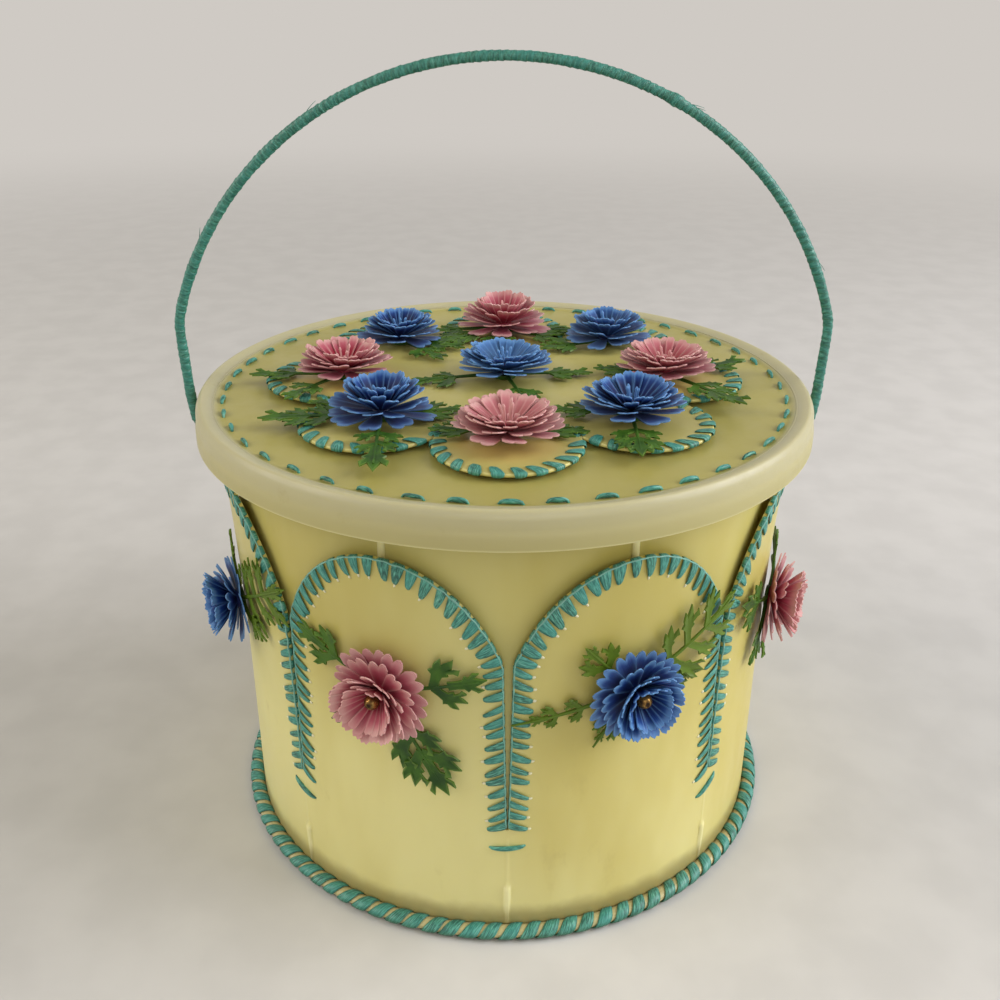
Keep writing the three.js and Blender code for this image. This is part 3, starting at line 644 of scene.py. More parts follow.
def edge_at(run):
    """Height, share of the half width and way inwards at a run along a petal's edge.

    The run starts at the foot of the left slot, goes up it, over the arch and down the right slot. The way
    inwards is 0 on the left side and half a turn on the right, and square to the ellipse on the arch.
    """
    bend = np.interp(run - SLOT_RUN, ARCH_RUNS, ARCH_BENDS)
    below = np.minimum(run - SLOT_RUN, 0) + np.minimum(SLOT_RUN + ARCH_RUN - run, 0)
    facing = np.arctan2(ARCH_REACH * np.cos(bend), -ARCH_DEPTH * np.sin(bend))
    facing = np.where(below < 0, np.where(bend < 0, 0.0, math.pi), facing)
    return arch_height(bend) + below, np.sin(bend) / math.sin(ARCH_HALF_TURN), facing


def base_disc():
    """The base: a turned plate on a foot, with its rim standing out as a flange."""
    foot = FLANGE_RADIUS - FOOT_SET_IN
    profile = rounded([(0, 0), (foot, 0), (foot, FOOT_RISE), (FLANGE_RADIUS, FOOT_RISE),
                       (FLANGE_RADIUS, BASE_TOP), (0, BASE_TOP)], [0.5, 0.4, 0.5, 0.5])
    return [turned(profile, full_turn(192))]


def sleeve_rows(columns):
    """Shares and heights of the outer pail's columns, and how many of its rows lie below the slots.

    Rows are level below the slots, and then at equal shares of the way from there to the arch.
    """
    share = -np.cos(math.pi * np.arange(columns) / (columns - 1))
    low = SLEEVE_FLOOR + (SLOT_BOTTOM - SLEEVE_FLOOR) * np.linspace(0, 1, 31)[:, None]
    top = arch_height(np.arcsin(share * math.sin(ARCH_HALF_TURN)))
    rise = np.linspace(0, 1, 37)[1:, None]
    heights = np.concatenate([low + 0 * share, SLOT_BOTTOM + rise * (top - SLOT_BOTTOM)])
    return share, heights, len(low)


def seam_relief(arc, height):
    """Height of the mould's rib and seam over the wall at an arc length from a slot's line.

    The rib is a rounded ridge whose half width grows from its foot to its top; the seam is a fine ridge.
    """
    up = np.clip((height - RIB_LOW) / (RIB_HIGH - RIB_LOW), 0, 1)
    half = RIB_FOOT_HALF + (RIB_TOP_HALF - RIB_FOOT_HALF) * up
    inside = (height > RIB_LOW - 0.5) & (height < RIB_HIGH + 0.6)
    rib = 1.1 * (0.4 + 0.6 * up) * np.sqrt(np.maximum(0, 1 - (arc / half) ** 2)) * inside
    seam = 0.22 * np.exp(-(arc / SEAM_HALF) ** 2) * (height < SLOT_BOTTOM - 3)
    return np.maximum(rib, seam)


def outer_pail():
    """The wall as a ring of columns times rows, eight petals round, with no cells over the slots."""
    columns = 41
    share, heights, low_rows = sleeve_rows(columns)
    angle = column_angle(share[None], np.maximum(heights, SLOT_BOTTOM))
    middle = PITCH * (np.arange(PETALS) + 0.5)
    arc = (PITCH / 2 - np.abs(angle)) * petal_radius(heights)
    ridge = seam_relief(arc, heights)
    radius = petal_radius(heights) + ridge
    points = around(radius[:, None], angle[:, None] + middle[None, :, None], heights[:, None])
    points = points.reshape(len(heights), PETALS * columns, 3)
    floor = around(np.linspace(0, 1, 9)[:, None] * wall_radius(SLEEVE_FLOOR) * 0.99,
                   np.arctan2(points[0, :, 0], -points[0, :, 1])[None], SLEEVE_FLOOR)
    # The rib mark paints the ribs and seam paler, as a highlight on their crests
    pale = np.tile(np.minimum(1, ridge / 0.35)[:, None], (1, PETALS, 1)).reshape(len(heights), -1)
    pale = np.concatenate([np.zeros((len(floor), PETALS * columns)), pale])
    keep = np.ones((len(pale) - 1, PETALS * columns), bool)
    keep[len(floor) + low_rows - 1:, columns - 1::columns] = False
    return [surface(np.concatenate([floor, points]), wrap=True, keep=keep, rib=pale)]


def inner_pail():
    """The inner pail: a turned wall with its floor, shoulder, mouth and rim, and fine ribs under the rim.

    A rib adds the root of one less the square of the place across it.
    """
    base = WALL_BASE_RADIUS - WALL - NEST_GAP
    outer = [(0, PAIL_FLOOR), (base + WALL_SLOPE * PAIL_FLOOR, PAIL_FLOOR),
             (base + WALL_SLOPE * 60, 60), (base + WALL_SLOPE * 110, 110),
             *((base + WALL_SLOPE * z, z) for z in SHOULDER - RIB_DROP + RIB_ROWS),
             (base + WALL_SLOPE * SHOULDER, SHOULDER), (MOUTH_RADIUS, SHOULDER + SHOULDER_RISE),
             (MOUTH_RADIUS, RIM_TOP - 2.9), (MOUTH_RADIUS + 2.7, RIM_TOP - 2.9),
             (MOUTH_RADIUS + 2.7, RIM_TOP)]
    inner = [(MOUTH_RADIUS - WALL, RIM_TOP), (MOUTH_RADIUS - WALL, SHOULDER + SHOULDER_RISE),
             (base + WALL_SLOPE * SHOULDER - WALL, SHOULDER), (base - WALL + WALL_SLOPE * 60, 60),
             (base + WALL_SLOPE * PAIL_FLOOR - WALL, PAIL_FLOOR + WALL), (0, PAIL_FLOOR + WALL)]
    radii = [3, 1, 1, 0, 0, 0, 0, 0, 0, 1.5, 1, 0.4, 0.4, 1.1, 0.4, 1, 1, 1, 2]
    profile = rounded(outer + inner, radii)
    across = 1.35 * np.sin(np.linspace(-1.7, 1.7, 9)) / np.sin(1.5)
    ribs = PITCH * (np.arange(PETALS) + 0.5)[:, None] + across / wall_radius(SHOULDER)
    angles = np.unique(np.concatenate([full_turn(192) + 0.001, ribs.ravel()]).round(6))
    part = turned(profile, angles)
    points = part["points"].reshape(len(profile), len(angles), 3)
    off = (angles[None] / PITCH) % 1 - 0.5
    arc = off * PITCH * wall_radius(SHOULDER)
    height = profile[:, 1:]
    is_outer = (profile[:, :1] > base + WALL_SLOPE * height - 0.5) & (height > SHOULDER - RIB_DROP - 0.05)
    grow = 0.85 * np.sqrt(np.maximum(0, 1 - (arc / 1.35) ** 2)) * is_outer * (height < SHOULDER - 0.9)
    points[..., :2] *= (1 + grow / np.maximum(profile[:, :1], 1))[..., None]
    part["points"] = points.reshape(-1, 3)
    # The rib mark paints these ribs paler, as a highlight on their crests
    part["marks"]["rib"] = np.minimum(1, grow / 0.4).reshape(-1)
    return [part, ear(-1), ear(1)]


def ear(side):
    """A turned boss along X: a rounded barrel with a blind hole in its end for the wire."""
    root = wall_radius(EAR_HEIGHT) - WALL - NEST_GAP - 0.8
    hole, deep = WIRE + 0.3, EAR_REACH - EAR_HOLE_DEPTH
    profile = rounded([(0, root), (EAR_RADIUS, root), (EAR_RADIUS, EAR_REACH), (hole, EAR_REACH),
                       (hole, deep), (0, deep)], [0.2, 0.9, 0.3, 0.2])
    basis = [(0, 1, 0), (0, 0, 1), (side, 0, 0)]
    made = placed(turned(profile, full_turn(48)), basis, (0, 0, EAR_HEIGHT))
    if side < 0:
        made["quads"] = made["quads"][:, ::-1]
    return made


# Lid

def lid():
    """The lid: a flat panel inside a raised round rim, a stepped skirt and the plug that fits the mouth.

    The panel's height wavers by two sines round it, which fade out to its middle and its edge.
    """
    step = SKIRT_BOTTOM + 5.3
    upper = LID_RADIUS - 0.4
    ceiling = RIM_TOP + 0.3
    corners = [
        *((r, PANEL_TOP) for r in (0, 20, 40, 60, 80, 95)),
        (PLUG_INNER - 0.7, PANEL_TOP), (PLUG_INNER + 4.2, LID_TOP - 0.45), (upper - 1.6, LID_TOP),
        (upper - 0.1, LID_TOP - 2.2), (upper, step + 1.2), (LID_RADIUS, step - 0.6),
        (LID_RADIUS, SKIRT_BOTTOM), (LID_RADIUS - LID_WALL, SKIRT_BOTTOM),
        (LID_RADIUS - LID_WALL, ceiling), (PLUG_RADIUS, ceiling), (PLUG_RADIUS, PANEL_TOP - LID_WALL),
        (0, PANEL_TOP - LID_WALL)]
    radii = [0] * 5 + [0.9, 2.2, 1.6, 1.6, 2.0, 2.0, 0.6, 0.3, 0.3, 0.3, 0.3]
    profile = rounded(corners, radii, 8)
    angles = full_turn(240)
    points = around(profile[:, :1], angles[None], profile[:, 1:])
    sag = 0.12 * np.sin(3 * angles + 0.7) + 0.1 * np.sin(5 * angles - 1.1)
    share = np.sin(np.pi * np.clip(profile[:, :1] / PLUG_INNER, 0, 1))
    points[..., 2] += sag * share * (profile[:, 1:] < PANEL_TOP + 0.5) * (profile[:, 1:] > PANEL_TOP - 2)
    return [surface(points, wrap=True, closed=True)]


LOBE_STEPS = 28
LOBE_HALF_TURN = math.pi / 2 + PITCH / 2 - math.acos(LOBE_REACH * math.sin(PITCH / 2) / LOBE_RADIUS)


def lobe_point(lobe, turn, offset):
    """A point off a lobe's edge, at a turn from the lobe's own direction."""
    middle = around(LOBE_REACH, PITCH * lobe, 0.0)
    return middle + around(LOBE_RADIUS + offset, PITCH * lobe + turn, 0.0)


def scallop_panel():
    """The panel: its outline shrunk towards the middle row by row, with a rounded edge between two faces.

    The outline is eight circular arcs whose middles lie round the lid, and the edge is half a circle.
    """
    lobe = np.repeat(np.arange(PETALS), LOBE_STEPS)
    share = np.tile(2 * np.arange(LOBE_STEPS) / LOBE_STEPS - 1, PETALS)
    outline = lobe_point(lobe, share * LOBE_HALF_TURN, 0.0)
    r = (PANEL_HIGH - PANEL_LOW) / 2
    bend = np.linspace(-math.pi / 2, math.pi / 2, 9)
    inset = r * (1 - np.cos(bend))
    shares = np.array([0, 0.15, 0.3, 0.42, 0.52, 0.6, 0.68, 0.75, 0.82, 0.88, 0.94])
    levels = PANEL_LOW + r + r * np.sin(bend)
    direction = unit(outline - around(LOBE_REACH, PITCH * lobe, 0.0))
    rim = outline[None] - inset[:, None, None] * direction[None]
    rim[..., 2] = levels[:, None]
    low = shares[:, None, None] * rim[:1]
    low[..., 2] = PANEL_LOW
    high = shares[::-1, None, None] * rim[-1:]
    high[..., 2] = PANEL_HIGH
    points = np.concatenate([low, rim, high])
    pink = around(BLOOM_REACH, PITCH * np.arange(0, PETALS, 2), 0.0)
    far = np.linalg.norm(points[:, :, None, :2] - pink[:, :2], axis=-1).min(-1)
    # edge paints the rounded rim rows paler as a highlight; its 0.3 floor lightens the whole panel a little
    edge = np.zeros(points.shape[:2])
    edge[len(shares) + 1:len(shares) + 8] = 0.8
    # warm is painted light: the glow that the pink flowers throw on the panel near them
    return [surface(points, wrap=True, closed=True, warm=0.5 * smooth((25 - far) / 12) * (1 - edge),
                    edge=np.maximum(edge, 0.3))]


# Raffia

def run_along(points, turn):
    """Length along each strand, the same all round its section."""
    steps = np.linalg.norm(np.diff(points, axis=1, prepend=points[:, :1]), axis=-1)
    return np.cumsum(steps, 1)[..., None] + 0 * turn


def ribbon(path, widths, thickness, place_point, own, shade=0.0, sides=8):
    """Flat strands carried along paths.

    path holds stations of (run, inward, lift) for each strand, shaped strands x stations x 3. A strand's
    section is a flattened ellipse: half its width along the run times a cosine to the power 0.8, and half
    its thickness along the path's normal times a sine. place_point turns (run, inward, lift) into a point.
    """
    turn = full_turn(sides)
    run_way = np.broadcast_to([1.0, 0, 0], path.shape)
    normal = unit(np.cross(run_way, unit(np.gradient(path, axis=1))))
    squared = np.sign(np.cos(turn)) * np.abs(np.cos(turn)) ** 0.8
    half = widths[..., None, None] / 2
    points = (path[:, :, None] + half * squared[:, None] * run_way[:, :, None]
              + thickness[..., None, None] / 2 * np.sin(turn)[:, None] * normal[:, :, None])
    return surface(place_point(points), wrap=True, caps=True, closed=True, along=run_along(path, turn),
                   across=half[..., 0] * np.cos(turn) * 2, own=own[:, None, None], shade=shade)


def tube(points, radii, own=0.5, sides=8, shade=0.0, flat=None):
    """Strands along space curves, shaped strands x stations x 3, with a radius for each station.

    Each ring is the radius times a cosine and a sine along two directions square to the curve. The first
    lies level, and in the second a flat strand has half its thickness for the radius.
    """
    tangent = unit(np.gradient(points, axis=1))
    helper = np.where(np.abs(tangent[..., 2:]) > 0.9, [1.0, 0, 0], [0, 0, 1.0])
    side = unit(np.cross(helper, tangent))
    other = np.cross(tangent, side)
    turn = full_turn(sides)
    radii = np.broadcast_to(radii, points.shape[:2])[..., None, None]
    ring = radii * np.cos(turn)[:, None] * side[:, :, None] \
        + (radii if flat is None else flat) * np.sin(turn)[:, None] * other[:, :, None]
    across = radii[..., 0] * turn if flat is None else radii.max() * np.cos(turn)
    return surface(points[:, :, None] + ring, wrap=True, caps=True, closed=True,
                   along=run_along(points, turn), across=across, own=own, shade=shade)


def overcast(runs, depth, slant, reach, table, widths, thickness, place_point, own, sides):
    """Stitches over an edge, each along a table of stations from its hole to its inner end.

    A station's way inwards is a share of the stitch's depth, less a share of its reach past the edge, and
    its run slants in proportion to that way.
    """
    share, out, lift, width = np.transpose(table)
    inward = depth[:, None] * share - reach * out
    path = np.stack([runs[:, None] + slant[:, None] * np.maximum(inward, 0), inward,
                     np.broadcast_to(lift, inward.shape)], -1)
    return ribbon(path, widths[:, None] * width, thickness * np.ones(inward.shape), place_point, own,
                  sides=sides)


# Mean depth of stitches on a slot's side, on an arch and on a lobe, and widths of strands that are not the
# ribbon's own
SIDE_DEPTH, ROUND_DEPTH, LOBE_DEPTH = 6.3, 6.8, 5.2
LOBE_WIDTH, NOTCH_WIDTH, BASE_WIDTH, BASE_THICKNESS = 4.3, 3.2, 5.5, 0.75
# Stations of a petal's stitch and a lobe's stitch: share of the depth, share of the reach past the edge,
# lift over the face and share of the width
PETAL_STITCH = [
    (1, 0, -0.5, 0.22), (0.98, 0, 0.15, 0.4), (0.86, 0, 0.52, 0.6), (0.56, 0, 0.68, 0.82),
    (0.26, 0, 0.66, 0.96), (0.05, 0, 0.5, 1.0), (0, 0.8, 0.1, 0.98), (0, 1, -0.9, 0.8),
    (0.35, 0, -1.5, 0.4), (0.6, 0, -1.45, 0.3),
]
LOBE_STITCH = [
    (1, 0, -0.45, 0.35), (0.97, 0, 0.1, 0.5), (0.85, 0, 0.38, 0.75), (0.55, 0, 0.5, 0.95),
    (0.25, 0, 0.5, 1), (0.03, 0, 0.38, 1), (0, 0.75, 0.05, 0.97), (0, 0.9, -0.7, 0.85),
    (0.12, 0, -1.45, 0.7), (0.3, 0, -1.5, 0.6),
]


def petal_place(petal):
    """Returns the function that lays (run along the edge, inward, lift) on a petal."""
    def place_point(points):
        run, inward, lift = points[..., 0], points[..., 1], points[..., 2]
        edge, share, facing = edge_at(run)
        height = edge - inward * np.sin(facing)
        radius = petal_radius(height)
        angle = PITCH * (petal + 0.5) + column_angle(share, edge) + inward * np.cos(facing) / radius
        return around(radius + lift, angle, height)
    return place_point


def petal_stitches(petal, raffia, draws):
    """Overcast stitches along a petal's edge.

    Each starts in its hole, runs out over the wall to the edge, wraps it and goes back inside. It is
    narrow at the hole and wide at the edge, and on the slots' sides its hole lies lower than its crossing.
    """
    side = np.linspace(2.2, SLOT_RUN - 1.6, raffia.side_stitches)
    arch = SLOT_RUN + ARCH_RUN * (np.arange(raffia.arch_stitches) + 0.5) / raffia.arch_stitches
    runs = np.concatenate([side, arch, EDGE_RUN - side[::-1]])
    count = len(runs)
    runs = runs + draws.uniform(-0.35, 0.35, count)
    height, _, facing = edge_at(runs)
    on_side = (runs < SLOT_RUN) | (runs > SLOT_RUN + ARCH_RUN)
    depth = np.where(on_side, SIDE_DEPTH, ROUND_DEPTH) + draws.uniform(-0.7, 0.5, count)
    reach = np.minimum(0.3, slot_half(height) - 0.1)[:, None]
    widths = np.where(on_side, 0.82, 1.0) * draws.uniform(0.82, 1.12, count) * raffia.strand_width / MM
    corner = np.where(on_side, 99, np.minimum(runs - SLOT_RUN, SLOT_RUN + ARCH_RUN - runs))
    slant = (-0.42 * np.cos(facing) + draws.uniform(-0.14, 0.14, count)) * smooth(corner / 14)
    in_slot = np.array(PETAL_STITCH)[:, 1] > 0.5
    stitches = overcast(runs, depth, slant, reach, PETAL_STITCH, widths,
                        raffia.strand_thickness / MM * (1 - 0.45 * in_slot), petal_place(petal),
                        draws.random(count), 6)
    return stitches, runs, depth, slant


def edge_thread(petal, draws):
    """The thin run of raffia that shows along the petal's edge from one stitch to the next, painted paler as
    a highlight.
    """
    run = np.linspace(1.5, EDGE_RUN - 1.5, 190)
    inward, lift = 0.1 + 0.08 * np.sin(run * 1.3), 0.35 + 0.12 * np.sin(run * 0.9 + draws.random())
    points = petal_place(petal)(np.stack([run, inward, lift], -1))[None]
    return marked(tube(points, 0.3, own=0.9, sides=6), pale=0.4)


def slot_thread(petal):
    """The strand that lies down in a slot between the stitches, as wide as the slot lets it be, darkened
    with painted shade.
    """
    height = np.linspace(SLOT_BOTTOM + 1.5, SPRING - 4, 40)
    points = around(wall_radius(height) - 0.8 + 0.15 * np.sin(height * 0.9), PITCH * (petal + 1), height)
    return tube(points[None], 0.6 * slot_half(height)[None], own=0.2, sides=6, shade=0.9)


def bar_stitch(petal, draws):
    """One stitch across the slot's line below its foot: an arc that rises from a hole and goes back in."""
    t, tilt = np.linspace(-1, 1, 13)[None], BAR_TILTS[petal]
    height = BAR_HEIGHT + 6.0 * t * math.sin(tilt) + 0.5 * (t ** 2 - 0.5)
    angle = PITCH * (petal + 1) + 6.0 * t * math.cos(tilt) / wall_radius(BAR_HEIGHT)
    lift = 0.75 * np.sqrt(np.maximum(0, 1 - t ** 4)) - 0.25
    points = around(wall_radius(height) + lift, angle, height)
    return tube(points, 0.85 * (1 - 0.45 * t ** 2), own=draws.random())


def hole_burrs(petal, runs, depth, slant):
    """Pale lips that the needle raised: low domes of three rings of eight points round some holes."""
    kept = draws_of("holes", petal).random(len(runs)) < 0.5
    runs, depth, slant = runs[kept], depth[kept], slant[kept]
    turn, ring, rise = full_turn(8), np.array([[1.0], [0.75], [0.35]]), np.array([[0.0], [0.24], [0.36]])
    middle = np.stack([runs + slant * depth, depth + 0.5, 0 * runs], -1)
    spread = np.stack([ring * np.cos(turn) * 0.55, ring * np.sin(turn) * 0.8, rise + 0 * turn], -1)
    points = petal_place(petal)(middle[:, None, None] + spread[None])
    return surface(points, wrap=True, caps=True, burr=1.0)


# Oval sections round the base's flange: the height of their middle, and half their width and height
FLANGE_MIDDLE = (FOOT_RISE + BASE_TOP) / 2 + 0.15
STITCH_OVAL = (2.85, 1.95)
EDGE_OVAL = (2.5, 1.65)


def base_overcast(raffia, draws):
    """Stitches round the base flange.

    Each is a ribbon once round the flange's section, an oval, and it leans back by its pitch. Painted
    shade darkens the lower side of each stitch.
    """
    count = raffia.base_stitches
    q = np.linspace(0, 1, 13)
    turn = math.radians(150) - math.radians(300) * q
    middle = FLANGE_RADIUS - 0.4
    radius = middle + STITCH_OVAL[0] * np.cos(turn)
    height = FLANGE_MIDDLE + STITCH_OVAL[1] * np.sin(turn)
    lean = 1.1 * TURN / count * (0.5 - q)
    start = full_turn(count)[:, None] + draws.uniform(-0.05, 0.05, (count, 1)) * TURN / count
    path = np.stack(np.broadcast_arrays((start + lean) * middle, radius, height), -1)
    # Painted shade: the stitches darken towards their lower side, under the flange
    low = np.clip((FLANGE_MIDDLE + 1.0 - height) / 2.2, 0, 1)

    def place_point(points):
        return around(points[..., 1], points[..., 0] / middle, np.maximum(points[..., 2], 0.35))
    widths = (BASE_WIDTH + draws.uniform(-0.6, 0.5, (count, 1))) * (0.75 + 0.25 * np.sin(math.pi * q))
    return ribbon(path, widths, np.full(widths.shape, BASE_THICKNESS), place_point, draws.random(count),
                  shade=(0.85 * low)[None, :, None])


def base_rolled_edge():
    """The base disc's thick rolled edge, which shows between the stitches: a ring of oval section."""
    turn = full_turn(12)[::-1]
    profile = np.stack([FLANGE_RADIUS - 0.5 + EDGE_OVAL[0] * np.cos(turn),
                        FLANGE_MIDDLE + EDGE_OVAL[1] * np.sin(turn)], -1)
    return turned(np.concatenate([profile, profile[:1]]), full_turn(180), burr=0.32)


def lid_running_stitches(raffia, draws):
    """Short arcs in line round the panel: each rises out of one hole and goes into the next."""
    count = raffia.ring_stitches
    t = np.linspace(-1, 1, 11)
    middle = full_turn(count)[:, None] + draws.uniform(-0.006, 0.006, (count, 1))
    radius = STITCH_RING + draws.uniform(-0.35, 0.35, (count, 1)) + 0.35 * t
    half = (3.4 + draws.uniform(-0.6, 0.5, (count, 1))) / radius
    lift = 1.3 * np.sqrt(np.maximum(0, 1 - t ** 4)) - 0.35
    points = around(radius, middle + half * t, PANEL_TOP + lift + 0 * middle)
    radii = 0.82 * (1 - 0.5 * t ** 2) * draws.uniform(0.85, 1.1, (count, 1))
    return tube(points, radii, own=draws.random((count, 1, 1)))


def lobe_place(lobe):
    """Returns the function that lays (run along a lobe's edge, inward, lift over the panel) on the lid."""
    def place_point(points):
        flat = lobe_point(lobe, points[..., 0] / LOBE_RADIUS, -points[..., 1])
        flat[..., 2] = PANEL_HIGH + points[..., 2]
        return flat
    return place_point


def lobe_stitches(lobe, raffia, draws):
    """Broad slanted stitches over a lobe's edge, from a hole in the panel round to its underside."""
    count = raffia.lobe_stitches
    half = (LOBE_HALF_TURN - 0.13) * LOBE_RADIUS
    runs = half * (2 * (np.arange(count) + 0.5) / count - 1) + draws.uniform(-0.4, 0.4, count)
    depth = LOBE_DEPTH + draws.uniform(-0.5, 0.5, count)
    slant = -0.5 + draws.uniform(-0.15, 0.15, count)
    widths = LOBE_WIDTH + draws.uniform(-0.5, 0.4, count)
    return overcast(runs, depth, slant, 0.55, LOBE_STITCH, widths, raffia.strand_thickness / MM,
                    lobe_place(lobe), draws.random(count), 10)


def notch_stitches(draws):
    """Stitches that cross diagonally where two lobes meet, two at each notch.

    Each runs straight outwards over the panel and dips into it by a smooth step at both ends. Its half
    width is the root of a sine.
    """
    parts, t = [], np.linspace(0, 1, 9)[None]
    half = NOTCH_WIDTH / 2 * np.sqrt(np.sin(0.25 + (math.pi - 0.5) * t))
    for lobe in range(PETALS):
        for side in (-1, 1):
            angle = PITCH * (lobe + 0.5) + side * (0.055 - 0.085 * t)
            lift = PANEL_HIGH + 0.5 + 0.25 * side * (t - 0.5) - 1.6 * smooth((t - 0.86) / 0.14) \
                - 0.7 * smooth((0.1 - t) / 0.1)
            points = around(NOTCH_REACH + NOTCH_STITCH * t, angle, lift)
            parts.append(tube(points, half, own=draws.random(), flat=0.21))
    return parts


# Bail

def bail_line(stations, first=0.0, last=1.0):
    """Points of the bail by share of its length: pin, foot, leaning leg, round arch and back.

    The corner points are joined by straight runs, and the arch is part of a circle. Past the foot each
    point is the mean of its neighbours with Hann weights, which rounds the bend where the arch starts.
    """
    arch = np.linspace(math.pi - BAIL_START, BAIL_START, 121)
    left = np.array([(EAR_REACH - 2.6, EAR_HEIGHT), (EAR_REACH + 0.6, EAR_HEIGHT + 0.1),
                     (FOOT_REACH - 0.15, EAR_HEIGHT + WIRE), (FOOT_REACH, EAR_HEIGHT + 5),
                     (LEG_REACH, LEG_HEIGHT)])
    x = np.concatenate([-left[:, 0], BAIL_RADIUS * np.cos(arch), left[::-1, 0]])
    z = np.concatenate([left[:, 1], BAIL_HEIGHT + BAIL_RADIUS * np.sin(arch), left[::-1, 1]])
    run = np.concatenate([[0], np.cumsum(np.hypot(np.diff(x), np.diff(z)))])
    fine = np.linspace(0, run[-1], 2401)
    x, z = np.interp(fine, run, x), np.interp(fine, run, z)
    soft = np.hanning(97)
    soft /= soft.sum()
    share = smooth((np.minimum(fine, run[-1] - fine) - 14) / 22)
    x, z = (v + share * (np.convolve(np.pad(v, 48, "edge"), soft, "valid") - v) for v in (x, z))
    at = np.linspace(first, last, stations) * run[-1]
    return np.stack([np.interp(at, fine, x), 0 * at, np.interp(at, fine, z)], -1), at


def bail_wire():
    """The steel wire: a round tube along the bail's line."""
    points, _ = bail_line(260)
    return [bare(tube(points[None], WIRE, sides=12))]


def bail_wrap(raffia, draws):
    """Raffia wound round the wire: a tube whose radius rises and drops once for each turn.

    The rise is a sawtooth along a slightly skewed helix, so that each turn overlaps the one before,
    and every turn has a width, height and colour of its own. Painted shade darkens the start of each
    turn, where it tucks under the one before.
    """
    pitch = raffia.wrap_pitch / MM
    points, at = bail_line(2300, 0.02, 0.98)
    turn = full_turn(14)
    phase = (at[:, None] - 0.55 * pitch * np.sin(turn + 0.6)) / pitch
    number = np.floor(phase).astype(int) - int(phase.min()) + 1
    inside = phase - np.floor(phase)
    height = 0.14 + draws.uniform(-0.08, 0.12, number.max() + 2)
    rise = smooth(inside / 0.82) * (1 - smooth((inside - 0.86) / 0.14))
    wander = 0.1 * np.sin(at * 0.11)[:, None] + 0.07 * np.sin(at * 0.37 + 1)[:, None]
    ends = np.minimum(smooth((at - at[0]) / 2.0), smooth((at[-1] - at) / 2.0))[:, None]
    knot = 0.45 * np.exp(-((at - 0.655 * at[-1]) / 2.6) ** 2)[:, None] * (1 + 0.4 * np.cos(turn))
    radius = WIRE + 0.12 + ends * (0.55 + height[number] * rise + wander * 0.5 + knot)
    tangent = unit(np.gradient(points, axis=0))
    side = np.stack([-tangent[:, 2], 0 * at, tangent[:, 0]], -1)
    ring = np.cos(turn)[:, None] * side[:, None] + np.sin(turn)[:, None] * np.array([0, 1.0, 0])
    own = draws.random(number.max() + 2)[number]
    return surface(points[:, None] + radius[..., None] * ring, wrap=True, caps=True, closed=True,
                   along=1.9 * turn, across=at[:, None], own=own,
                   shade=0.5 * (1 - smooth(inside / 0.3)) * (number > 0))


def stray_fibres(draws):
    """Loose fibres on the wrap: thin curls that leave its surface and end in the air."""
    parts = []
    for place_share in (0.19, 0.33, 0.655, 0.66, 0.83):
        start, _ = bail_line(2, place_share, place_share + 0.002)
        heading = unit(start[1] - start[0])
        outward = np.array([-heading[2], 0, heading[0]])
        t = np.linspace(0, 1, 9)[:, None]
        length = draws.uniform(3.0, 5.5)
        lean = draws.uniform(-0.6, 0.6)
        curve = start[0] + outward * (1.5 + 0.45 * length * t * (1 - 0.4 * t)) + heading * length * t \
            + np.array([0, lean, 0]) * length * t ** 2
        parts.append(tube(curve[None], 0.16 * (1 - 0.6 * t[None, :, 0]), own=draws.random(), sides=5))
    return parts


# Flowers

def petal_whorl(count, start, length, width, rise, curl, height, heart, cup, low, draws, rows, columns):
    """A ring of petals as grids over (along, across).

    A petal lies along an arc that leaves the middle at an angle rise and bends upwards by curl. Its half
    width grows from its foot as a sine, its tip has two round lobes, each falling away by the square of
    the place across from its own middle, and its rims are lifted by the square of the place across.
    """
    t = np.linspace(0, 1, rows)[None, :, None]
    u = np.linspace(-1, 1, columns)[None, None]
    one = (count, 1, 1)
    angle = TURN * (np.arange(count) / count + draws.random()).reshape(one)
    angle = angle + draws.uniform(-0.06, 0.06, one)
    reach = length * draws.uniform(0.9, 1.04, one)
    first = np.radians(rise + draws.uniform(-4, 4, one))
    bend = np.radians(curl + draws.uniform(-5, 5, one))
    tip = 1 - heart * (2 * np.abs(u) - 1) ** 2 - 0.06 * np.abs(u) ** 6
    way = t * (1 - (1 - tip) * t ** 2)
    half = width / 2 * (0.26 + 0.74 * np.sin(np.minimum(way, 1) * 1.62) ** 1.3)
    half = half * draws.uniform(0.92, 1.05, one)
    tilt = first + bend * way
    run = reach * way
    out = start + run * np.cos((first + tilt) / 2)
    high = height + run * np.sin((first + tilt) / 2) + cup * half * (u ** 2 - 0.3 * np.exp(-(u / 0.2) ** 2))
    high = high + draws.uniform(-0.16, 0.16, one) * half * u
    side = half * u
    points = np.stack([out * np.cos(angle) - side * np.sin(angle),
                       out * np.sin(angle) + side * np.cos(angle), high], -1)
    rim = np.maximum(np.abs(u) ** 4, smooth((t - 0.75) / 0.25))
    return surface(points, along=t, across=side, rim=rim, low=low, own=draws.uniform(0, 9, one))


